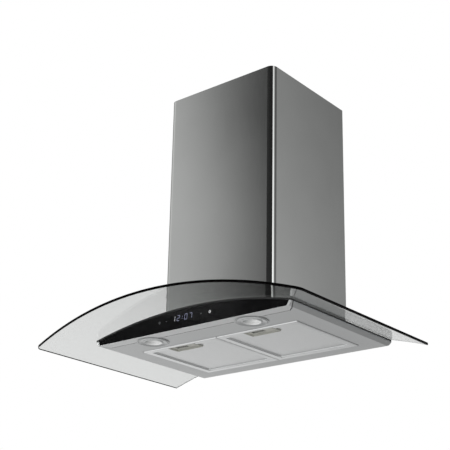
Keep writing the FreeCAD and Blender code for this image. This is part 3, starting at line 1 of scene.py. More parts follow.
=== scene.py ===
"""Looks of a wall-hung range hood with a barrel-curved glass canopy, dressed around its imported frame.

Metres throughout. +Z is up, +X is to the right seen from the front, and the front faces -Y. The origin lies
on the wall, Y = 0, at the middle of the hanger's bolt holes, 150 mm above the hood's underside.
"""

import json
import logging
import math
from dataclasses import dataclass
from enum import Enum
from typing import Optional, Union

import bmesh
import bpy
import numpy as np
from mathutils import Matrix, Vector


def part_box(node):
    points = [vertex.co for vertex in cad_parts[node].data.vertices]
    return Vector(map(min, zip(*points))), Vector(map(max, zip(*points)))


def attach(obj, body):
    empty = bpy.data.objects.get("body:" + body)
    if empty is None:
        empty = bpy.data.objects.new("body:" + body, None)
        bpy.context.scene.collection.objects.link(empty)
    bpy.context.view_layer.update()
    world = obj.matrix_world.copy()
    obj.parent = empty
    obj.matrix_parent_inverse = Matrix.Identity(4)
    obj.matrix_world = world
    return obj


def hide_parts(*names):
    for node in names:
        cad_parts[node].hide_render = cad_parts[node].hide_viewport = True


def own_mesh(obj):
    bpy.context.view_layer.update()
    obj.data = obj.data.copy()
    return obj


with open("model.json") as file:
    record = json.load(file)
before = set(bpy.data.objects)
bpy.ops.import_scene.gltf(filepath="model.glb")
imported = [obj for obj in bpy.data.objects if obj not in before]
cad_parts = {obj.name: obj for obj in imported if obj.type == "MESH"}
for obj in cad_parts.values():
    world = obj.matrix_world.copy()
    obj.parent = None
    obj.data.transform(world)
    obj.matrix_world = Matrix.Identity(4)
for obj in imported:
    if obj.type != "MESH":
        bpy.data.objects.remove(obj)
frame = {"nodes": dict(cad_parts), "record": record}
log = logging.getLogger("hood")

Colour = tuple[float, float, float]
Point = tuple[float, float, float]
Range = tuple[float, float]
Socket = bpy.types.NodeSocket
MM = 0.001
UNDERSIDE = -0.150           # height of the hood's underside
FASCIA_FRONT = -0.390        # front face of the black panel
JOINT_FRONT = -0.36146       # Y of the joint between fascia and tray, front and rear, the span of its painted shade
JOINT_REAR = -0.35994
JOINT_END = 0.2585           # X either way at which the corner pieces begin
BLACK = (0.0, 0.0, 0.0)
WHITE = (1.0, 1.0, 1.0)
SIDES = ("left", "right")


# ------------------------------------------------------------------ finishes

class Pattern(Enum):
    """What breaks up a surface: how its colour, gloss and relief vary."""

    BRUSHED_UP = "fine lines along Z"
    BRUSHED_ACROSS = "fine lines along X"
    BRUSHED_BACK = "fine lines along Y"
    SPANGLE = "zinc crystals"
    MESH = "fine expanded mesh"
    FLAKE = "metal flake in paint"
    GRAIN = "moulded or cast grain"
    SMOOTH = "broad faint unevenness"


LINES = {
    Pattern.BRUSHED_UP: (1.0, 1.0, 0.012),
    Pattern.BRUSHED_ACROSS: (0.012, 1.0, 1.0),
    Pattern.BRUSHED_BACK: (1.0, 0.012, 1.0),
}


class Nodes:
    """A node tree, with short ways to add and join its nodes."""

    def __init__(self, tree: bpy.types.NodeTree) -> None:
        """Keep the tree."""
        self.tree = tree

    def node(self, kind: str, inputs: Optional[dict] = None, **settings) -> bpy.types.Node:
        """Add a node.

        Args:
            kind: Node type without its "ShaderNode" prefix.
            inputs: Value or source socket for each named or numbered input.
            settings: Attributes set on the node.

        Returns:
            The new node.
        """
        made = self.tree.nodes.new("ShaderNode" + kind)
        for key, value in settings.items():
            setattr(made, key, value)
        for key, value in (inputs or {}).items():
            if isinstance(value, Socket):
                self.tree.links.new(value, made.inputs[key])
            else:
                made.inputs[key].default_value = value
        return made

    def spread(self, value: Socket, low: float, high: float, start: float = 0.3, end: float = 0.7) -> Socket:
        """Carry start..end of a value over to low..high, held at both ends."""
        return self.node("MapRange", {"Value": value, "From Min": start, "From Max": end,
                                      "To Min": low, "To Max": high}).outputs["Result"]

    def tint(self, share: Union[Socket, float], first: Union[Socket, Colour], second: Union[Socket, Colour],
             blend: str = "MIX") -> Socket:
        """Lay one colour over another.

        Args:
            share: Share of the second colour, from 0 to 1.
            first: Colour underneath.
            second: Colour on top.
            blend: How the two are put together.

        Returns:
            Colour socket.
        """
        under, over = (c if isinstance(c, Socket) else (*c, 1.0) for c in (first, second))
        return self.node("Mix", {0: share, 6: under, 7: over}, data_type="RGBA", blend_type=blend).outputs[2]

    def combine(self, kind: str, *values: Union[Socket, float]) -> Socket:
        """One arithmetic step on one, two or three values."""
        return self.node("Math", dict(enumerate(values)), operation=kind).outputs[0]


class Graph(Nodes):
    """The node tree of one material, with patterns on its object coordinates."""

    def __init__(self, name: str) -> None:
        """Start a material with its principled shader.

        Args:
            name: Name of the material.
        """
        self.material = bpy.data.materials.new(name)
        self.material.use_nodes = True
        super().__init__(self.material.node_tree)
        self.shader = self.tree.nodes["Principled BSDF"]
        self.output = self.tree.nodes["Material Output"]
        self.place = self.node("TexCoord").outputs["Object"]

    def scaled(self, scale: Point) -> Socket:
        """Object coordinates multiplied by three factors."""
        return self.node("Mapping", {"Vector": self.place, "Scale": scale}).outputs[0]

    def noise(self, cell: float, stretch: Point = (1.0, 1.0, 1.0), detail: float = 3.0) -> Socket:
        """Noise whose features are about cell metres across, stretched where a factor is small.

        Args:
            cell: Size of a feature in metres.
            stretch: Share of the frequency kept along each axis.
            detail: Octaves of finer noise.

        Returns:
            Value socket from 0 to 1.
        """
        made = self.node("TexNoise", {"Vector": self.scaled(stretch), "Scale": 1.0 / cell, "Detail": detail})
        return made.outputs["Fac"]

    def cells(self, scale: float, feature: str = "F1", output: str = "Distance") -> Socket:
        """Output of a pattern of crystals, with scale of them to a metre."""
        made = self.node("TexVoronoi", {"Vector": self.place, "Scale": scale}, feature=feature)
        return made.outputs[output]

    def mesh(self, wide: float, deep: float) -> Socket:
        """Strands of a fine expanded mesh: 1 on a strand and 0 in the middle of a hole.

        With u = x / wide + y / deep and v = x / wide - y / deep, a strand runs where u or v is whole.

        Args:
            wide: Long way of a diamond in metres, along X.
            deep: Short way of a diamond in metres, along Y.

        Returns:
            Value socket from 0 to 1.
        """
        ways = []
        for sign in (1.0, -1.0):
            dot = self.node("VectorMath", {0: self.place, 1: (1.0 / wide, sign / deep, 0.0)},
                            operation="DOT_PRODUCT").outputs["Value"]
            ways.append(self.combine("PINGPONG", dot, 0.5))
        return self.spread(self.combine("MINIMUM", *ways), 1.0, 0.0, 0.10, 0.30)

    def relief(self, value: Socket, depth: float) -> None:
        """Bump of this depth in metres on the shader."""
        made = self.node("Bump", {"Height": value, "Strength": 1.0, "Distance": depth})
        self.tree.links.new(made.outputs["Normal"], self.shader.inputs["Normal"])

    def feed(self, name: str, value: Union[Socket, float, tuple]) -> None:
        """Set or link one input of the shader.

        Args:
            name: Name of the input.
            value: Its value, or the socket that it is read from.
        """
        if isinstance(value, Socket):
            self.tree.links.new(value, self.shader.inputs[name])
        else:
            self.shader.inputs[name].default_value = value


@dataclass(frozen=True)
class Finish:
    """A finish whose colour, gloss and relief follow one pattern, with broad handling marks over it."""

    name: str
    colour: Colour
    pattern: Pattern
    metal: float = 0.0
    rough: tuple[float, float] = (0.3, 0.42)
    contrast: float = 0.08       # share by which the dark part of the pattern is darker
    cell: float = 0.0012         # metres across a feature
    relief: float = 0.00001      # metres
    coat: float = 0.0
    marks: float = 0.03          # roughness that the handling marks add
    joint: bool = False          # painted shade: a dark line painted along the joint between tray and fascia, where the groove lies in shade

    CLOUD = 0.09                 # metres across a handling mark
    MARK = 0.35                  # how light a mark is, as a share of the dark colour
    OVER = 0.12                  # share in which the marks are added to the colour
    COAT_ROUGH = 0.06
    # colour of the painted shade in the joint between tray and fascia
    JOINT_PAINTED_SHADE = (0.02, 0.02, 0.02)

    def factor(self, graph: Graph) -> Socket:
        """Work out the pattern.

        Args:
            graph: Node tree of the material.

        Returns:
            Value socket, mostly from 0 to 1.
        """
        if self.pattern in LINES:
            return graph.noise(self.cell, LINES[self.pattern], 4.0)
        if self.pattern in (Pattern.SPANGLE, Pattern.FLAKE):
            shade = graph.node("RGBToBW", {0: graph.cells(1.0 / self.cell, output="Color")}).outputs[0]
            return shade if self.pattern is Pattern.FLAKE else graph.combine("MULTIPLY_ADD", shade, 0.8, 0.5)
        if self.pattern is Pattern.MESH:
            return graph.mesh(self.cell * 1.7, self.cell)
        if self.pattern is Pattern.GRAIN:
            return graph.noise(self.cell, detail=5.0)
        return graph.noise(self.cell * 40.0, detail=2.0)

    def build(self) -> bpy.types.Material:
        """Make the material.

        Returns:
            The material.
        """
        graph = Graph(self.name)
        value = self.factor(graph)
        cloud = graph.noise(self.CLOUD, detail=3.0)
        dark = tuple(c * (1.0 - self.contrast) for c in self.colour)
        base = graph.tint(graph.spread(value, 0.0, 1.0), dark, self.colour)
        worn = graph.tint(graph.spread(cloud, 0.0, self.MARK), BLACK, dark)
        layered = graph.tint(self.OVER, base, worn, "ADD")
        # painted shade darkens the groove between tray and fascia where the finish asks for it
        graph.feed("Base Color", self.with_painted_joint_shade(graph, layered) if self.joint else layered)
        gloss = graph.spread(value, *self.rough)
        graph.feed("Roughness", graph.combine("ADD", gloss, graph.spread(cloud, 0.0, self.marks)))
        graph.feed("Metallic", self.metal)
        if self.coat:
            graph.feed("Coat Weight", self.coat)
            graph.feed("Coat Roughness", self.COAT_ROUGH)
        graph.relief(value, self.relief)
        return graph.material

    def with_painted_joint_shade(self, graph: Graph, colour: Socket) -> Socket:
        """Paint shade into a colour inside the joint: JOINT_FRONT < y < JOINT_REAR and |x| < JOINT_END.

        Args:
            graph: Node tree of the material.
            colour: Colour outside the joint.

        Returns:
            Colour socket.
        """
        spot = graph.node("SeparateXYZ", {0: graph.place}).outputs
        behind = graph.combine("LESS_THAN", spot["Y"], JOINT_REAR)
        ahead = graph.combine("GREATER_THAN", spot["Y"], JOINT_FRONT)
        inside = graph.combine("LESS_THAN", graph.combine("ABSOLUTE", spot["X"]), JOINT_END)
        share = graph.combine("MULTIPLY", graph.combine("MULTIPLY", behind, ahead), inside)
        return graph.tint(share, colour, self.JOINT_PAINTED_SHADE)


@dataclass(frozen=True)
class ClearGlass:
    """Clear sheet glass that darkens with the length of the light's way through it, with painted shade on its
    edge.
    """

    name: str = "clear_glass"
    tint: Colour = (0.955, 0.965, 0.96)
    absorb: Colour = (0.20, 0.21, 0.20)
    density: float = 26.0        # per metre
    # painted shade: near-black colour of the sheet's edge
    edge: Colour = (0.03, 0.033, 0.032)
    tilt: Range = (0.72, 0.84)   # upward share of the surface's direction, at the edge and on the sheet
    dusty: float = 0.985         # colour under dust, as a share of the clean colour

    def build(self) -> bpy.types.Material:
        """Make the material, with a trace of dust. The edge is told from the sheet by its direction and gets
        painted shade.

        Returns:
            The material.
        """
        graph = Graph(self.name)
        facing = graph.node("SeparateXYZ", {0: graph.node("NewGeometry").outputs["True Normal"]})
        flat = graph.spread(graph.combine("ABSOLUTE", facing.outputs["Z"]), 0.0, 1.0, *self.tilt)
        dust = graph.spread(graph.noise(0.004, detail=6.0), 0.0, 1.0, 0.45, 0.8)
        sheet = graph.tint(dust, self.tint, tuple(c * self.dusty for c in self.tint))
        # painted shade on the edge, chosen by the surface's direction
        graph.feed("Base Color", graph.tint(flat, self.edge, sheet))
        graph.feed("Transmission Weight", 1.0)
        graph.feed("IOR", 1.5)
        graph.feed("Roughness", 0.0)
        volume = graph.node("VolumeAbsorption", {"Color": (*self.absorb, 1.0), "Density": self.density})
        graph.tree.links.new(volume.outputs[0], graph.output.inputs["Volume"])
        return graph.material


@dataclass(frozen=True)
class BlackGlass:
    """Back-painted black glass with faint wipe marks."""

    name: str = "black_glass"
    colour: Colour = (0.0036, 0.0036, 0.0039)
    wiped: float = 1.5           # colour of a wipe mark, as a multiple of the colour
    gloss: float = 0.04          # specular level

    def build(self) -> bpy.types.Material:
        """Make the material.

        Returns:
            The material.
        """
        graph = Graph(self.name)
        wipe = graph.noise(0.012, (0.25, 1.0, 1.0), 5.0)
        marked = tuple(c * self.wiped for c in self.colour)
        graph.feed("Base Color", graph.tint(graph.spread(wipe, 0.0, 1.0), self.colour, marked))
        graph.feed("Roughness", graph.spread(wipe, 0.05, 0.13))
        graph.feed("IOR", 1.45)
        graph.feed("Specular IOR Level", self.gloss)
        graph.relief(graph.noise(0.05, detail=1.0), 0.000004)
        return graph.material


@dataclass(frozen=True)
class LampLens:
    """Frosted lens: pale, slightly see-through, with a fine pressed texture and painted shade that darkens it
    towards its left.
    """

    name: str = "lamp_diffuser"
    colour: Colour = (0.95, 0.96, 0.95)
    # painted shade on the left of each lens
    shade: Colour = (0.26, 0.27, 0.27)
    pressed: Colour = (0.90, 0.90, 0.90)
    centre: tuple[float, float] = (0.143, -0.343)
    painted_light_way: tuple[float, float] = (0.77, 0.64)
    lit: Range = (-0.017, 0.009)   # way across the lens over which the painted shade gives way to the lens's own pale colour
    texture: float = 1100.0      # dots to a metre

    def build(self) -> bpy.types.Material:
        """Make the material.

        Returns:
            The material.
        """
        graph = Graph(self.name)
        value = graph.cells(self.texture, "SMOOTH_F1")
        fine = graph.tint(graph.spread(value, 0.0, 1.0, 0.1, 0.8), WHITE, self.pressed)
        # painted shade: darker on the left of each lens, lighter towards the right
        deep = graph.tint(self.across(graph), self.shade, self.colour)
        graph.feed("Base Color", graph.tint(1.0, deep, fine, "MULTIPLY"))
        graph.feed("Roughness", graph.spread(value, 0.20, 0.30, 0.1, 0.8))
        graph.feed("Transmission Weight", 0.12)
        graph.feed("IOR", 1.49)
        graph.relief(value, 0.00005)
        return graph.material

    def across(self, graph: Graph) -> Socket:
        """Share of the lens's own colour over its painted shade, from the painted shade at its far left to
        full colour towards the right.

        The distance is (x - cx sign x) wx + (y - cy) wy, for either lamp about its own middle.

        Args:
            graph: Node tree of the material.

        Returns:
            Value socket from 0 to 1.
        """
        spot = graph.node("SeparateXYZ", {0: graph.place}).outputs
        middle = graph.combine("MULTIPLY", graph.combine("SIGN", spot["X"]), self.centre[0])
        aside = graph.combine("MULTIPLY", graph.combine("SUBTRACT", spot["X"], middle), self.painted_light_way[0])
        rearward = graph.combine("SUBTRACT", spot["Y"], self.centre[1])
        back = graph.combine("MULTIPLY", rearward, self.painted_light_way[1])
        return graph.spread(graph.combine("ADD", aside, back), 0.0, 1.0, *self.lit)


@dataclass(frozen=True)
class CircuitBoard:
    """Solder mask with copper tracks under it and tinned pads."""

    name: str = "board_green"
    mask: Colour = (0.012, 0.085, 0.035)
    track: Colour = (0.03, 0.17, 0.07)
    pad: Colour = (0.55, 0.52, 0.42)
    tracks: float = 260.0        # fields between tracks to a metre
    pads: float = 190.0          # pads to a metre

    def build(self) -> bpy.types.Material:
        """Make the material.

        Returns:
            The material.
        """
        graph = Graph(self.name)
        lines = graph.spread(graph.cells(self.tracks, "DISTANCE_TO_EDGE"), 1.0, 0.0, 0.06, 0.10)
        holes = graph.spread(graph.cells(self.pads), 1.0, 0.0, 0.16, 0.20)
        copper = graph.tint(lines, self.mask, self.track)
        graph.feed("Base Color", graph.tint(holes, copper, self.pad))
        graph.feed("Roughness", graph.spread(holes, 0.28, 0.4, 0.0, 1.0))
        graph.relief(lines, 0.00004)
        return graph.material


@dataclass(frozen=True)
class Glow:
    """Lit segment of a display, a little uneven as its light guide is, left out of mirror images."""

    name: str
    colour: Colour
    strength: float
    dim: float = 0.7             # dimmest spot, as a share of the colour
    unlit: Colour = (0.01, 0.01, 0.011)

    def build(self) -> bpy.types.Material:
        """Make the material.

        Returns:
            The material.
        """
        graph = Graph(self.name)
        uneven = graph.spread(graph.noise(0.004, detail=1.0), 0.0, 1.0)
        lit = graph.tint(uneven, tuple(c * self.dim for c in self.colour), self.colour)
        graph.feed("Base Color", (*self.unlit, 1.0))
        mirrored = graph.node("LightPath").outputs["Is Glossy Ray"]
        graph.feed("Emission Color", graph.tint(mirrored, lit, BLACK))
        graph.feed("Emission Strength", self.strength)
        graph.feed("Roughness", 0.4)
        return graph.material


FINISHES = (
    ClearGlass(),
    BlackGlass(),
    LampLens(),
    CircuitBoard(),
    Finish("chimney_steel", (0.57, 0.58, 0.57), Pattern.BRUSHED_UP, 1.0, (0.08, 0.11), 0.03, 0.0007,
           0.0000005, marks=0.01),
    Finish("upper_cover_steel", (0.57, 0.58, 0.57), Pattern.BRUSHED_UP, 1.0, (0.10, 0.14), 0.03, 0.0007,
           0.0000006),
    # joint=True paints shade into the groove between tray and fascia
    Finish("body_steel", (0.56, 0.57, 0.57), Pattern.BRUSHED_ACROSS, 1.0, (0.32, 0.42), 0.05, 0.0006,
           0.000002, joint=True),
    Finish("zinc_steel", (0.50, 0.52, 0.54), Pattern.SPANGLE, 1.0, (0.32, 0.52), 0.22, 0.009, 0.000004),
    Finish("fascia_silver", (0.56, 0.57, 0.57), Pattern.FLAKE, 0.75, (0.34, 0.46), 0.12, 0.0003,
           0.000004, 0.25, joint=True),
    Finish("black_rubber", (0.018, 0.018, 0.018), Pattern.GRAIN, 0.0, (0.6, 0.8), 0.3, 0.0008, 0.00003),
    Finish("display_block", (0.62, 0.66, 0.72), Pattern.GRAIN, 0.0, (0.25, 0.35), 0.08, 0.0010, 0.00001,
           0.3),
    Finish("lamp_trim", (0.44, 0.45, 0.45), Pattern.FLAKE, 0.9, (0.26, 0.34), 0.10, 0.0003, 0.000002),
    Finish("lamp_can_aluminium", (0.66, 0.67, 0.68), Pattern.BRUSHED_UP, 1.0, (0.25, 0.38), 0.08, 0.0005,
           0.000004),
    Finish("led_white", (0.84, 0.84, 0.76), Pattern.FLAKE, 0.0, (0.25, 0.45), 0.25, 0.0022, 0.00003),
    Finish("filter_aluminium", (0.71, 0.72, 0.72), Pattern.BRUSHED_ACROSS, 1.0, (0.24, 0.32), 0.04,
           0.0006, 0.0000015),
    Finish("mesh_aluminium", (0.72, 0.73, 0.73), Pattern.MESH, 1.0, (0.34, 0.28), 0.16, 0.0011, 0.00001),
    Finish("latch_plastic", (0.42, 0.42, 0.385), Pattern.GRAIN, 0.0, (0.38, 0.52), 0.12, 0.0005, 0.00001),
    # slide's own grey, set darker than the real key: partly its colour, partly painted shade for the slot
    # round it
    Finish("slide_plastic", (0.20, 0.20, 0.185), Pattern.GRAIN, 0.0, (0.36, 0.50), 0.12, 0.0005, 0.00001),
    Finish("spring_steel", (0.62, 0.62, 0.63), Pattern.BRUSHED_BACK, 1.0, (0.16, 0.26), 0.1, 0.0003,
           0.000003),
    Finish("screw_steel", (0.62, 0.62, 0.61), Pattern.GRAIN, 1.0, (0.20, 0.34), 0.15, 0.0006, 0.000006),
    Finish("wheel_metal", (0.46, 0.48, 0.50), Pattern.SPANGLE, 1.0, (0.30, 0.45), 0.2, 0.005, 0.000004),
    Finish("shaft_steel", (0.56, 0.56, 0.57), Pattern.BRUSHED_BACK, 1.0, (0.12, 0.22), 0.1, 0.0003,
           0.000002),
    Finish("motor_paint", (0.045, 0.05, 0.055), Pattern.GRAIN, 0.0, (0.34, 0.48), 0.25, 0.0009, 0.00003,
           0.2),
    Finish("collar_plastic", (0.030, 0.030, 0.033), Pattern.GRAIN, 0.0, (0.40, 0.55), 0.2, 0.0006,
           0.00002),
    Finish("flap_plastic", (0.045, 0.045, 0.048), Pattern.GRAIN, 0.0, (0.38, 0.52), 0.2, 0.0006, 0.00002),
    Finish("gland_plastic", (0.020, 0.020, 0.021), Pattern.GRAIN, 0.0, (0.34, 0.46), 0.2, 0.0005,
           0.00002),
    Finish("capacitor_case", (0.66, 0.66, 0.63), Pattern.SMOOTH, 0.0, (0.24, 0.34), 0.1, 0.0008, 0.00001,
           0.3),
    Glow("figure_glow", (0.55, 0.60, 0.92), 0.50),
    Glow("figure_white", (0.90, 0.93, 1.0), 0.9),
    Glow("figure_dim", (0.30, 0.31, 0.33), 0.30),
    Glow("power_glow", (0.95, 0.97, 1.0), 1.3),
)


class Paintbox:
    """Every finish as a material, made once."""

    def __init__(self) -> None:
        """Build all the finishes and read the names of the record's material slots."""
        self.slots = {row["slot"] for row in frame["record"]["materials"]}
        self.materials = {finish.name: finish.build() for finish in FINISHES}
        log.info("finishes: %d", len(self.materials))

    def dress_nodes(self) -> None:
        """Give each carried-over node the finish of its slot in the record."""
        for row in frame["record"]["subparts"]:
            paint(frame["nodes"][row["node"]], self.materials[row["material_slot"]])
        log.info("nodes dressed: %d", len(frame["nodes"]))

    def place(self, piece: bpy.types.Object, finish: str, body: str, *nodes: str) -> bpy.types.Object:
        """Finish a new piece and set it on its body.

        Args:
            piece: The new piece.
            finish: Name of its finish.
            body: Body that it moves with.
            nodes: Nodes that it stands for.

        Returns:
            The same piece.
        """
        paint(piece, self.materials[finish])
        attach(piece, body)
        if nodes:
            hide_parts(*nodes)
        log.info("piece %s: %d faces, %s on %s", piece.name, len(piece.data.polygons), finish, body)
        return piece


def paint(piece: bpy.types.Object, material: bpy.types.Material) -> None:
    """Put one material on the whole of a piece.

    Args:
        piece: Carried-over node or new piece.
        material: Its only material.
    """
    if piece.data.materials:
        piece.material_slots[0].material = material
    else:
        piece.data.materials.append(material)


# ------------------------------------------------------------------ surfaces

def linked(name: str, mesh: bpy.types.Mesh, smooth: Optional[float]) -> bpy.types.Object:
    """Object of a mesh, at the origin.

    Args:
        name: Name of the object.
        mesh: Its mesh.
        smooth: Angle in degrees below which an edge is shaded smooth, or None for flat shading.

    Returns:
        The new object.
    """
    piece = bpy.data.objects.new(name, mesh)
    bpy.context.scene.collection.objects.link(piece)
    if smooth is not None:
        mesh.shade_smooth()
        mesh.set_sharp_from_angle(angle=math.radians(smooth))
    return piece


def mesh_piece(name: str, points: np.ndarray, faces: list, smooth: Optional[float]) -> bpy.types.Object:
    """Piece from points and faces, with outward faces.

    Args:
        name: Name of the piece.
        points: Array of n by 3 coordinates.
        faces: Corner numbers of each face.
        smooth: Angle in degrees below which an edge is shaded smooth, or None for flat shading.

    Returns:
        The new object, at the origin.
    """
    mesh = bpy.data.meshes.new(name)
    mesh.from_pydata(points.tolist(), [], faces)
    tidy = bmesh.new()
    tidy.from_mesh(mesh)
    bmesh.ops.remove_doubles(tidy, verts=tidy.verts, dist=1e-7)
    bmesh.ops.recalc_face_normals(tidy, faces=tidy.faces)
    tidy.to_mesh(mesh)
    tidy.free()
    return linked(name, mesh, smooth)


def skinned(name: str, rings: np.ndarray, smooth: float, looped: bool = False) -> bpy.types.Object:
    """Closed skin over rings of points, each joined to the next.

    The quads are (i, j), (i+1, j), (i+1, j+1), (i, j+1) for ring i and point j, with j turning round.

    Args:
        name: Name of the piece.
        rings: Array of m rings by n points by 3 coordinates.
        smooth: Angle in degrees below which an edge is shaded smooth.
        looped: Whether the last ring is joined to the first. Otherwise both get a cap.

    Returns:
        The new piece.
    """
    count, around = rings.shape[:2]
    i, j = np.meshgrid(np.arange(count if looped else count - 1), np.arange(around), indexing="ij")
    m, k = (i + 1) % count, (j + 1) % around
    quads = np.stack([i * around + j, m * around + j, m * around + k, i * around + k], -1)
    faces = quads.reshape(-1, 4).tolist()
    if not looped:
        faces += [list(range(around)), list(range((count - 1) * around, count * around))]
    return mesh_piece(name, rings.reshape(-1, 3), faces, smooth)


def turned(profile: np.ndarray, centre: Point, around: int) -> np.ndarray:
    """Rings of points turned from a profile about an upright axis.

    Points are (cx + r cos t, cy + r sin t, cz + z), with (r, z) along the profile and t round the axis.

    Args:
        profile: Array of m by 2 radii and heights.
        centre: Point on the axis.
        around: Steps round the axis.

    Returns:
        Array of m rings by around points by 3 coordinates.
    """
    turn = np.linspace(0.0, 2.0 * np.pi, around, endpoint=False)
    radius, height = profile[:, 0][:, None], profile[:, 1][:, None]
    return np.stack([centre[0] + radius * np.cos(turn), centre[1] + radius * np.sin(turn),
                     centre[2] + height + 0.0 * turn], -1)


def slab(name: str, xs: np.ndarray, ys: np.ndarray, solid: np.ndarray, low: np.ndarray,
         high: np.ndarray) -> bpy.types.Object:
    """Closed slab between two height fields over the cells that are solid.

    Lower points are (x, y, low(x, y)) and upper points (x, y, high(x, y)). A wall closes each side of a
    solid cell that has no solid neighbour.

    Args:
        name: Name of the piece.
        xs: Grid lines along X.
        ys: Grid lines along Y.
        solid: One truth value per cell.
        low: Height of the lower face at each grid point.
        high: Height of the upper face at each grid point.

    Returns:
        The new piece.
    """
    wide, deep = len(xs), len(ys)
    grid_x, grid_y = np.meshgrid(xs, ys, indexing="ij")
    points = np.concatenate([np.stack([grid_x, grid_y, low], -1).reshape(-1, 3),
                             np.stack([grid_x, grid_y, high], -1).reshape(-1, 3)])
    i, j = np.nonzero(solid)
    a, b, c, d = i * deep + j, (i + 1) * deep + j, (i + 1) * deep + j + 1, i * deep + j + 1
    upper = wide * deep
    faces = [np.stack([a, d, c, b], -1), np.stack([a, b, c, d], -1) + upper]
    framed = np.pad(solid, 1)
    for step, first, second in (((-1, 0), d, a), ((1, 0), b, c), ((0, -1), a, b), ((0, 1), c, d)):
        bare = ~framed[i + 1 + step[0], j + 1 + step[1]]
        faces.append(np.stack([first[bare], second[bare], second[bare] + upper, first[bare] + upper], -1))
    used, numbers = np.unique(np.concatenate(faces), return_inverse=True)
    return mesh_piece(name, points[used], numbers.reshape(-1, 4).tolist(), 60.0)


def coil(name: str, start: Vector, end: Vector, radius: float, wire: float, turns: float) -> bpy.types.Object:
    """Coil spring along Y: a round wire carried along a helix.

    The middle of the wire is c(s) = (x + R cos 2 pi n s, y0 + (y1 - y0) s, z + R sin 2 pi n s), and the
    skin is c(s) + r (cos a u + sin a v), with u pointing away from the axis and v square to u and to c'(s).

    Args:
        name: Name of the piece.
        start: Middle of the front end.
        end: Middle of the rear end.
        radius: Radius R of the helix.
        wire: Radius r of the wire.
        turns: Number n of turns.

    Returns:
        The new piece.
    """
    s = np.linspace(0.0, 1.0, int(turns * 20) + 1)
    angle = 2.0 * np.pi * turns * s
    length = end.y - start.y - 2.0 * wire
    middle = np.stack([start.x + radius * np.cos(angle), start.y + wire + length * s,
                       start.z + radius * np.sin(angle)], -1)
    out = np.stack([np.cos(angle), np.zeros_like(s), np.sin(angle)], -1)
    along = np.gradient(middle, axis=0)
    along /= np.linalg.norm(along, axis=1, keepdims=True)
    side = np.cross(along, out)
    around = np.linspace(0.0, 2.0 * np.pi, 8, endpoint=False)
    ring = np.cos(around)[None, :, None] * out[:, None] + np.sin(around)[None, :, None] * side[:, None]
    return skinned(name, middle[:, None] + wire * ring, 60.0)


def eased(node: str, width: float, name: str, angle: float = 34.0) -> bpy.types.Object:
    """Copy of a node with its sharp edges eased as a press or a mould leaves them.

    Args:
        node: Node to copy.
        width: Width of the eased edge in metres.
        name: Name of the copy.
        angle: Edges that turn by more than this many degrees are eased.

    Returns:
        The new piece.
    """
    mesh = frame["nodes"][node].data.copy()
    mesh.name = name
    if mesh.attributes.get("custom_normal"):
        mesh.attributes.remove(mesh.attributes["custom_normal"])
    tidy = bmesh.new()
    tidy.from_mesh(mesh)
    bmesh.ops.remove_doubles(tidy, verts=tidy.verts, dist=2e-6)
    bmesh.ops.dissolve_limit(tidy, angle_limit=math.radians(0.6), verts=tidy.verts, edges=tidy.edges)
    tidy.to_mesh(mesh)
    tidy.free()
    piece = linked(name, mesh, angle)
    bevel = piece.modifiers.new("eased", "BEVEL")
    bevel.width = width
    bevel.segments = 2
    bevel.limit_method = "ANGLE"
    bevel.angle_limit = math.radians(angle)
    bevel.use_clamp_overlap = True
    bevel.harden_normals = True
    return piece


def plates(name: str, outlines: list[np.ndarray], front: float, thickness: float) -> bpy.types.Object:
    """Thin upright plates that face the front, one for each outline.

    Args:
        name: Name of the piece.
        outlines: Closed outlines of n by 2 points (x, z), turning either way.
        front: Y of the rear face.
        thickness: How far each plate stands out of it.

    Returns:
        The new piece.
    """
    points, faces, start = [], [], 0
    for outline in outlines:
        count = len(outline)
        for y in (front, front - thickness):
            points.append(np.stack([outline[:, 0], np.full(count, y), outline[:, 1]], -1))
        numbers = np.arange(count)
        nxt = (numbers + 1) % count
        faces.append(list(range(start, start + count)))
        faces.append(list(range(start + count, start + 2 * count)))
        faces.extend((np.stack([numbers, nxt, nxt + count, numbers + count], -1) + start).tolist())
        start += 2 * count
    return mesh_piece(name, np.concatenate(points), faces, None)


# ------------------------------------------------------------------ sub-assemblies

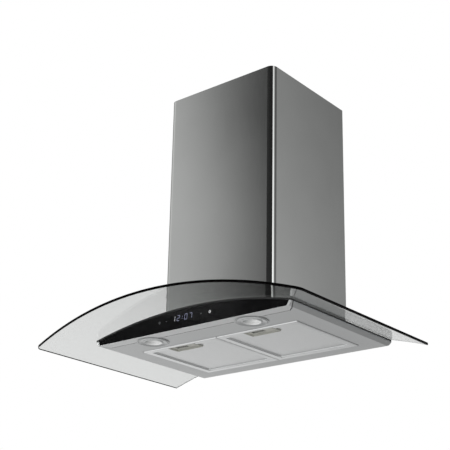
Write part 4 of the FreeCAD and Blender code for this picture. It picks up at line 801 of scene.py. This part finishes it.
@dataclass
class TouchPanel:
    """Figures and symbols that shine through the black glass."""

    paints: Paintbox
    text: str = "12:07"
    left: float = -0.0445
    height: float = 0.0117
    width: float = 0.0070
    pitch: float = 0.0138        # from one figure to the next
    colon: float = 0.0080        # room for the two dots
    dot: float = 0.00075         # radius of a dot
    stroke: float = 0.0009
    gap: float = 0.00025         # from the end of a segment to its corner
    slant: float = 0.14
    raised: float = 0.00008
    symbols: float = UNDERSIDE + 0.0235
    lamp_x: float = -0.082
    minus_x: float = -0.062
    plus_x: float = 0.0390
    power_x: float = 0.064
    lift: float = 0.001          # of the plus and power signs above the other two
    arm: float = 0.0022          # half the length of a bar of the minus and plus signs
    notch: float = 0.0004        # from the middle of the plus and power signs to their upright bars
    lamp_ring: float = 0.0024    # radius
    lamp_dot: float = 0.0008     # radius, and the width of the ring's stroke
    power_ring: float = 0.0023   # radius
    power_bar: float = 0.0038    # top of the bar above the middle of the ring

    SEGMENTS = {"0": "abcdef", "1": "bc", "2": "abged", "7": "abc"}

    @property
    def low(self) -> float:
        """Foot of the figures, which stand in the middle of the light block behind them."""
        low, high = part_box("display_module")
        return (low.z + high.z - self.height) / 2.0

    def bar(self, start: tuple[float, float], end: tuple[float, float]) -> np.ndarray:
        """Six-sided bar between two points, pointed at both ends as a display segment is.

        Args:
            start: First point (x, z).
            end: Last point (x, z).

        Returns:
            Outline of 6 by 2 points.
        """
        a, b = np.array(start), np.array(end)
        along = (b - a) / np.linalg.norm(b - a)
        across = np.array([-along[1], along[0]]) * self.stroke / 2.0
        tip = along * self.stroke / 2.0
        return np.array([a, a + tip + across, b - tip + across, b, b - tip - across, a + tip - across])

    def figure(self, character: str, x: float) -> list[np.ndarray]:
        """Draw one figure or the colon.

        Args:
            character: Figure, or ":".
            x: Place of the lower left corner.

        Returns:
            Outlines of its segments or dots.
        """
        w, h = self.width, self.height
        if character == ":":
            return [self.disc(x + w * 0.18, self.low + h * share, self.dot) for share in (0.32, 0.68)]
        ends = {"a": ((0, h), (w, h)), "g": ((0, h / 2), (w, h / 2)), "d": ((0, 0), (w, 0)),
                "f": ((0, h / 2), (0, h)), "b": ((w, h / 2), (w, h)), "e": ((0, 0), (0, h / 2)),
                "c": ((w, 0), (w, h / 2))}
        bars = []
        for letter in self.SEGMENTS[character]:
            (x0, z0), (x1, z1) = ends[letter]
            step = np.sign([x1 - x0, z1 - z0]) * self.gap
            bars.append(self.bar((x + x0 + step[0], self.low + z0 + step[1]),
                                 (x + x1 - step[0], self.low + z1 - step[1])))
        return bars

    @staticmethod
    def disc(x: float, z: float, radius: float, count: int = 20) -> np.ndarray:
        """Round outline."""
        turn = np.linspace(0.0, 2.0 * np.pi, count, endpoint=False)
        return np.stack([x + radius * np.cos(turn), z + radius * np.sin(turn)], -1)

    @staticmethod
    def arc(x: float, z: float, radius: float, stroke: float, start: float, end: float) -> np.ndarray:
        """Outline of part of a ring.

        Args:
            x: Middle of the ring along X.
            z: Height of its middle.
            radius: Radius of the middle of its stroke.
            stroke: Width of its stroke.
            start: First angle in degrees from +X.
            end: Last angle.

        Returns:
            Outline of n by 2 points.
        """
        turn = np.radians(np.linspace(start, end, 28))
        way = np.stack([np.cos(turn), np.sin(turn)], -1)
        outer, inner = (np.array([x, z]) + (radius + half) * way for half in (stroke / 2, -stroke / 2))
        return np.concatenate([outer, inner[::-1]])

    def lean(self, outlines: list[np.ndarray]) -> list[np.ndarray]:
        """Figures leaned to the right: x grows by slant times the height above their foot."""
        return [np.stack([o[:, 0] + self.slant * (o[:, 1] - self.low), o[:, 1]], -1) for o in outlines]

    def build(self) -> None:
        """Make the figures and the symbols and set them on the panel."""
        x, figures = self.left, []
        for character in self.text:
            figures.append(self.lean(self.figure(character, x)))
            x += self.colon if character == ":" else self.pitch
        z, m = self.symbols, self.symbols + self.lift
        lamp = [self.arc(self.lamp_x, z, self.lamp_ring, self.lamp_dot, 20, 340),
                self.disc(self.lamp_x, z, self.lamp_dot)]
        minus = [self.bar((self.minus_x - self.arm, z), (self.minus_x + self.arm, z))]
        plus = [self.bar((self.plus_x - self.arm, m), (self.plus_x + self.arm, m)),
                self.bar((self.plus_x, m + self.notch), (self.plus_x, m + self.arm)),
                self.bar((self.plus_x, m - self.arm), (self.plus_x, m - self.notch))]
        power = [self.arc(self.power_x, m, self.power_ring, self.stroke, -235, 55),
                 self.bar((self.power_x, m + self.notch), (self.power_x, m + self.power_bar))]
        for name, outlines, finish in (("panel_first_figure", figures[0], "figure_white"),
                                       ("panel_figures", sum(figures[1:], []), "figure_glow"),
                                       ("panel_symbols", lamp + minus + plus, "figure_dim"),
                                       ("panel_power_symbol", power, "power_glow")):
            self.paints.place(plates(name, outlines, FASCIA_FRONT, self.raised), finish, "hood")


@dataclass
class Lamp:
    """Round lamp: turned trim ring and domed lens."""

    paints: Paintbox
    side: str
    clear: float = 0.0002        # between the lens and the ring
    dome: float = 0.0026         # how far the lens bulges
    power: float = 2.4           # of the radius, by which the bulge falls off
    rim: float = 0.0003          # height of the lens's upper edge under its top

    # radius as a share of the way from the lens to the outer edge, and drop below the underside in mm
    RING = np.array([[0.0, 0.2], [0.0, 2.0], [0.035, 2.2], [0.105, 2.2], [0.19, 0.7], [0.28, 0.9],
                     [0.48, 1.6], [0.68, 2.1], [0.74, 2.2], [0.785, 0.8], [0.845, 0.8], [0.88, 1.7],
                     [0.97, 1.5], [1.0, 1.0], [0.96, 0.2]])

    def build(self) -> None:
        """Make the ring and the lens and let them stand for their nodes."""
        low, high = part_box("lamp_bezel_" + self.side)
        outer = (high.x - low.x) / 2.0
        lens_low, lens_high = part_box("lamp_lens_" + self.side)
        lens = (lens_high.x - lens_low.x) / 2.0
        inner = lens + self.clear
        profile = np.stack([inner + self.RING[:, 0] * (outer - inner), UNDERSIDE - self.RING[:, 1] * MM], -1)
        centre = ((low.x + high.x) / 2.0, (low.y + high.y) / 2.0, 0.0)
        ring = skinned("lamp_trim_ring_" + self.side, turned(profile, centre, 96), 35.0, looped=True)
        self.paints.place(ring, "lamp_trim", "hood", "lamp_bezel_" + self.side)
        self.lens_dome(lens, lens_low.z, lens_high.z, centre)

    def lens_dome(self, radius: float, low: float, high: float, centre: Point) -> None:
        """Lens whose lower face is z = low + dome (r / R) ^ power out to its edge, with a flat top.

        Args:
            radius: Radius R of the lens.
            low: Height of the middle of the dome.
            high: Height of the flat top.
            centre: Point on the axis.
        """
        edge = radius * np.array([0.99, 1.0, 1.0, 0.97])
        r = np.concatenate([np.linspace(0.0004, radius * 0.97, 22), edge])
        z = low + self.dome * (r / radius) ** self.power
        z[-2:] = high - self.rim, high
        piece = skinned("lamp_dome_" + self.side, turned(np.stack([r, z], -1), centre, 72), 50.0)
        self.paints.place(piece, "lamp_diffuser", "hood", "lamp_lens_" + self.side)


@dataclass
class GreaseFilter:
    """Grease filter: pad of expanded aluminium, eased frame, latch and its coil springs."""

    paints: Paintbox
    side: str
    mesh_long: float = 0.0136    # long way of a quilted diamond, along X
    mesh_short: float = 0.0080
    strand: float = 0.00006      # how far the quilting stands out of the pad
    seat: float = 0.0002         # clear of the cup all round
    end_slot: float = 0.0030     # open slot beside the right end of the cup
    rim: float = 0.0160          # width of the frame's lower wall
    wall: float = 0.0014         # outside of the frame to the pad
    border: float = 0.0012       # width of the pad's turned-down border inside the rim
    fold: float = 0.0014         # how far the border goes down
    travel: float = 0.0070       # of the latch
    wire: float = 0.00017        # half the thickness of the springs' wire
    turns: float = 6.0           # of each spring

    @property
    def body(self) -> str:
        """Body of the filter."""
        return "filter_" + self.side

    def diamonds(self, x: np.ndarray, y: np.ndarray) -> np.ndarray:
        """Height of the strands, 0 in a hole and 1 on a crossing.

        With u = x / long + y / short and v = x / long - y / short, strands run where u or v is a whole
        number: h = max(1 - 2.6 |u - round u|, 1 - 2.6 |v - round v|), held above 0 and rounded off.

        Args:
            x: X of each grid point.
            y: Y of each grid point.

        Returns:
            Height at each grid point.
        """
        u, v = x / self.mesh_long + y / self.mesh_short, x / self.mesh_long - y / self.mesh_short
        ridge = np.maximum(1.0 - 2.6 * np.abs(u - np.round(u)), 1.0 - 2.6 * np.abs(v - np.round(v)))
        return np.sqrt(np.clip(ridge, 0.0, 1.0))

    def rear_rim(self) -> float:
        """Y of the inner edge of the frame's rear wall, from the mesh: the frame's box ends at its tabs."""
        _, mesh_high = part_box("filter_mesh_" + self.side)
        return mesh_high.y + self.wall - self.rim

    def pad(self) -> None:
        """Pad with strands pressed out of both faces and a notch round the latch cup."""
        low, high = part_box("filter_mesh_" + self.side)
        cup_low, cup_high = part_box("latch_cup_" + self.side)
        left, right = cup_low.x - self.seat, cup_high.x + self.seat + self.end_slot
        rear = cup_high.y + self.seat
        rim_low, rim_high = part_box("filter_frame_" + self.side)
        window = (rim_low.x + self.rim, rim_high.x - self.rim, rim_low.y + self.rim, self.rear_rim())
        folds = [(edge, edge + way * self.border) for edge, way in zip(window, (1, -1, 1, -1))]
        xs = np.union1d(np.linspace(low.x, high.x, 140), [left, right, *folds[0], *folds[1]])
        ys = np.union1d(np.linspace(low.y, high.y, 240), [rear, *folds[2], *folds[3]])
        x, y = np.meshgrid(xs, ys, indexing="ij")
        height = self.diamonds(x, y)
        inward = np.minimum.reduce([x - window[0], window[1] - x, y - window[2], window[3] - y])
        drop = self.fold * (1.0 - np.clip(inward / self.border, 0.0, 1.0))
        cell_x, cell_y = (xs[:-1] + xs[1:]) / 2.0, (ys[:-1] + ys[1:]) / 2.0
        notch = ((cell_x > left) & (cell_x < right))[:, None] & (cell_y < rear)[None, :]
        piece = slab("filter_pad_" + self.side, xs, ys, ~notch,
                     low.z - drop + self.strand * (1.0 - height), high.z - self.strand * (1.0 - height))
        self.paints.place(piece, "mesh_aluminium", self.body, "filter_mesh_" + self.side)

    def hardware(self) -> None:
        """Frame, cup and slide with their edges eased."""
        for node, width, name, finish, body in (
                ("filter_frame_", 0.0003, "filter_rim_", "filter_aluminium", self.body),
                ("latch_cup_", 0.00025, "latch_housing_", "latch_plastic", self.body),
                ("latch_slide_", 0.0002, "latch_key_", "slide_plastic", "latch_" + self.side)):
            node += self.side
            self.paints.place(eased(node, width, name + self.side), finish, body, node)

    def springs(self) -> None:
        """Two coil springs, one at each side of the spring node's box, each with a mesh of its own."""
        low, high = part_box("latch_springs_" + self.side)
        radius = (high.z - low.z) / 2.0
        z = (low.z + high.z) / 2.0
        for number, x in enumerate((low.x + radius, high.x - radius)):
            piece = coil(f"latch_coil_{self.side}_{number + 1}", Vector((x, low.y, z)),
                         Vector((x, high.y, z)), radius - self.wire, self.wire, self.turns)
            self.paints.place(piece, "spring_steel", self.body, "latch_springs_" + self.side)
            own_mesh(piece)

    def build(self) -> None:
        """Make every piece of the filter."""
        self.pad()
        self.hardware()
        self.springs()


@dataclass
class SheetMetal:
    """Folded sheets whose edges are eased as a press leaves them."""

    paints: Paintbox
    # node, width of the eased edge, name of the copy, finish
    sheets: tuple = (
        ("canopy_tray", 0.00022, "tray_shell", "body_steel"),
        ("fascia_frame", 0.00022, "fascia_surround", "fascia_silver"),
        ("fascia_glass", 0.0004, "touch_glass", "black_glass"),
        ("power_box", 0.0003, "power_case", "zinc_steel"),
    )

    def build(self) -> None:
        """Copy each sheet with eased edges."""
        for node, width, name, finish in self.sheets:
            self.paints.place(eased(node, width, name), finish, "hood", node)


# ------------------------------------------------------------------ studio

@dataclass
class Studio:
    """Pale floor, soft lamps, surroundings and camera."""

    floor_z: float = -1.55
    floor_half: float = 14.0
    floor_fade: Range = (2.2, 4.5)   # metres from the origin over which the floor turns white
    floor_colours: tuple[Colour, Colour] = ((0.78, 0.78, 0.78), (0.80, 0.80, 0.80))
    eye: Point = (1.5429, -2.1358, -0.8256)
    yaw: float = 39.5
    pitch: float = 19.64
    roll: float = 1.12
    lens: float = 88.6
    shift_y: float = 0.08
    ambient: float = 0.62
    soft_boxes: tuple = (
        # name, place, aim, width, height, watts
        ("key", (-2.6, -2.4, 1.9), (0.0, -0.25, 0.1), 2.0, 2.0, 60.0),
        ("fill", (3.0, -1.6, 0.6), (0.0, -0.25, 0.0), 1.8, 1.8, 28.0),
        ("under", (0.4, -1.4, -1.45), (0.0, -0.25, -0.15), 2.4, 2.0, 16.0),
    )
    # heading in degrees from the front (right is positive) and brightness that polished metal sees there
    surroundings: tuple = (
        (-180.0, 0.36), (-150.0, 0.30), (-95.0, 0.26), (-76.0, 0.80), (-47.0, 0.76), (-43.0, 0.70),
        (-41.5, 0.62), (-40.0, 0.42), (-38.8, 0.28), (-37.0, 0.11), (-35.5, 0.04), (60.0, 0.03), (64.0, 1.8),
        (78.0, 1.8), (90.0, 0.75), (99.0, 0.2), (130.0, 0.2), (140.0, 0.68), (143.0, 0.54), (146.7, 0.34),
        (155.0, 0.27), (180.0, 0.36),
    )
    # each range of heights is of the upward share of a direction, -1 straight down and 1 straight up
    lean: Range = (-0.45, 1.1)       # degrees by which the walls on the left turn, low down and high up
    lean_heights: Range = (0.375, 0.47)
    fall: float = 0.34               # share by which the walls on the right darken upwards
    fall_heights: Range = (0.31, 0.48)
    horizon: float = 0.86            # brightness low down, all round
    horizon_heights: Range = (-0.12, 0.24)
    # X on the floor and the brightness that polished metal sees there, then the same for the strip in front
    floor_shades: tuple = ((-3.9, 1.05), (-2.4, 0.48), (0.95, 0.45), (1.9, 0.30))
    floor_front: float = 1.05
    floor_strip: Range = (0.1, 0.7)  # Y over which the strip ends
    # in the sharp mirror image of clear glass: share of the floor's brightness, walls low down and high up
    mirror_share: float = 0.12
    mirror_walls: Range = (0.62, 0.04)
    mirror_heights: Range = (0.22, 0.27)

    def camera(self) -> None:
        """Camera at the eye, turned by yaw, pitched by pitch and rolled by roll."""
        a, e, r = (math.radians(v) for v in (self.yaw, self.pitch, self.roll))
        forward = Vector((-math.sin(a) * math.cos(e), math.cos(a) * math.cos(e), math.sin(e)))
        right = Vector((math.cos(a), math.sin(a), 0.0))
        up = right.cross(forward)
        side = right * math.cos(r) + up * math.sin(r)
        top = up * math.cos(r) - right * math.sin(r)
        data = bpy.data.cameras.new("camera")
        data.lens = self.lens
        data.shift_y = self.shift_y
        data.clip_end = 200.0
        made = bpy.data.objects.new("camera", data)
        turned = Matrix((side, top, -forward)).transposed().to_4x4()
        made.matrix_world = Matrix.Translation(self.eye) @ turned
        bpy.context.scene.collection.objects.link(made)
        bpy.context.scene.camera = made

    def lamps(self) -> None:
        """Square soft boxes, each aimed at a point of the hood."""
        for name, place, aim, width, height, watts in self.soft_boxes:
            data = bpy.data.lights.new(name, "AREA")
            data.shape = "RECTANGLE"
            data.size, data.size_y, data.energy = width, height, watts
            made = bpy.data.objects.new(name, data)
            made.location = place
            made.rotation_euler = (Vector(aim) - Vector(place)).to_track_quat("-Z", "Y").to_euler()
            made.visible_camera = False
            made.visible_glossy = False
            bpy.context.scene.collection.objects.link(made)

    def world(self) -> None:
        """White for the camera and light through glass, a studio for polished metal, even for the rest.

        The studio's brightness follows the heading. Its walls on the left turn a little with height, those
        on the right darken upwards, and low down all of them give way to a pale horizon. The sharp mirror
        image in clear glass sees plain walls of its own.
        """
        world = bpy.data.worlds.new("studio")
        bpy.context.scene.world = world
        world.use_nodes = True
        world.node_tree.nodes.clear()
        graph = Nodes(world.node_tree)
        heading = graph.node("SeparateXYZ", {0: graph.node("TexCoord").outputs["Generated"]}).outputs
        seen = graph.tint(graph.spread(heading["Z"], 0.0, 1.0, *self.horizon_heights), (self.horizon,) * 3,
                          self.walls(graph, heading["X"], heading["Y"], heading["Z"]))
        path = graph.node("LightPath").outputs
        sharp = graph.spread(heading["Z"], *self.mirror_walls, *self.mirror_heights)
        mirrored = graph.tint(path["Is Singular Ray"], seen, sharp)
        lit = graph.tint(path["Is Glossy Ray"], (self.ambient,) * 3, mirrored)
        clear = graph.combine("MAXIMUM", path["Is Camera Ray"], path["Is Transmission Ray"])
        backdrop = graph.node("Background", {"Color": graph.tint(clear, lit, WHITE), "Strength": 1.0})
        graph.node("OutputWorld", {0: backdrop.outputs[0]})

    def walls(self, graph: Nodes, x: Socket, y: Socket, z: Socket) -> Socket:
        """Walls of the studio, as bright as their heading says: arctan(x / -y), plus the lean where x < 0.

        Args:
            graph: Node tree of the world.
            x: Share of the direction along X.
            y: Share along Y.
            z: Share along Z.

        Returns:
            Colour socket.
        """
        angle = graph.combine("ARCTAN2", x, graph.combine("MULTIPLY", y, -1.0))
        lean = graph.spread(z, *(math.radians(degrees) for degrees in self.lean), *self.lean_heights)
        leaned = graph.combine("MULTIPLY_ADD", lean, graph.combine("LESS_THAN", x, 0.0), angle)
        ramp = graph.node("ValToRGB", {0: graph.spread(leaned, 0.0, 1.0, -math.pi, math.pi)})
        stops = ramp.color_ramp.elements
        for number, (degrees, level) in enumerate(self.surroundings):
            place = (degrees + 180.0) / 360.0
            stop = stops[number] if number < 2 else stops.new(place)
            stop.position = place
            stop.color = (level, level, level, 1.0)
        fall = graph.spread(z, 0.0, self.fall, *self.fall_heights)
        drop = graph.combine("MULTIPLY", fall, graph.combine("GREATER_THAN", x, 0.0))
        kept = graph.combine("SUBTRACT", 1.0, drop)
        return graph.node("VectorMath", {0: ramp.outputs[0], "Scale": kept}, operation="SCALE").outputs[0]

    def floor(self) -> None:
        """Large pale floor that keeps the hood's shadow and fades into the white backdrop further out."""
        half, z = self.floor_half, self.floor_z
        points = np.array([[-half, -half, z], [half, -half, z], [half, half, z], [-half, half, z]])
        piece = mesh_piece("floor", points, [[0, 1, 2, 3]], None)
        graph = Graph("floor_paint")
        speck = graph.spread(graph.noise(0.02, detail=4.0), 0.0, 1.0)
        graph.feed("Base Color", graph.tint(speck, *self.floor_colours))
        graph.feed("Roughness", 0.8)
        away = graph.node("VectorMath", {0: graph.place}, operation="LENGTH").outputs["Value"]
        far = graph.spread(away, 0.0, 1.0, *self.floor_fade)
        path = graph.node("LightPath").outputs
        shown = graph.combine("MAXIMUM", path["Is Camera Ray"], path["Is Transmission Ray"])
        white = graph.node("Emission", {"Color": (*WHITE, 1.0), "Strength": 1.0})
        faded = graph.node("MixShader", {0: graph.combine("MULTIPLY", far, shown), 1: graph.shader.outputs[0],
                                         2: white.outputs[0]})
        share = graph.spread(path["Is Singular Ray"], 1.0, self.mirror_share, 0.0, 1.0)
        level = graph.combine("MULTIPLY", self.floor_level(graph), share)
        mirrored = graph.node("Emission", {"Color": (*WHITE, 1.0), "Strength": level})
        through = graph.combine("SUBTRACT", 1.0, path["Is Transmission Ray"])
        glossy = graph.combine("MULTIPLY", path["Is Glossy Ray"], through)
        both = graph.node("MixShader", {0: glossy, 1: faded.outputs[0], 2: mirrored.outputs[0]})
        graph.tree.links.new(both.outputs[0], graph.output.inputs["Surface"])
        paint(piece, graph.material)

    def floor_level(self, graph: Graph) -> Socket:
        """Brightness of the floor in polished metal: it falls off to the right and is brightest in front.

        Args:
            graph: Node tree of the floor's material.

        Returns:
            Value socket.
        """
        spot = graph.node("SeparateXYZ", {0: graph.place}).outputs
        level = self.floor_shades[0][1]
        for (x0, shade0), (x1, shade1) in zip(self.floor_shades, self.floor_shades[1:]):
            level = graph.combine("ADD", level, graph.spread(spot["X"], 0.0, shade1 - shade0, x0, x1))
        front = graph.spread(spot["Y"], 1.0, 0.0, *self.floor_strip)
        extra = graph.combine("MULTIPLY", front, graph.combine("SUBTRACT", self.floor_front, level))
        return graph.combine("ADD", level, extra)

    def build(self) -> None:
        """Set up everything round the hood."""
        self.camera()
        self.lamps()
        self.world()
        self.floor()
        bpy.context.scene.view_settings.view_transform = "Standard"
        log.info("studio ready")


def main() -> None:
    """Dress the nodes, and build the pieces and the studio."""
    logging.basicConfig(level=logging.INFO, format="%(message)s")
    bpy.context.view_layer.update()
    Studio().build()
    paints = Paintbox()
    paints.dress_nodes()
    TouchPanel(paints).build()
    SheetMetal(paints).build()
    for side in SIDES:
        Lamp(paints, side).build()
        GreaseFilter(paints, side).build()


if __name__ == "__main__":
    main()
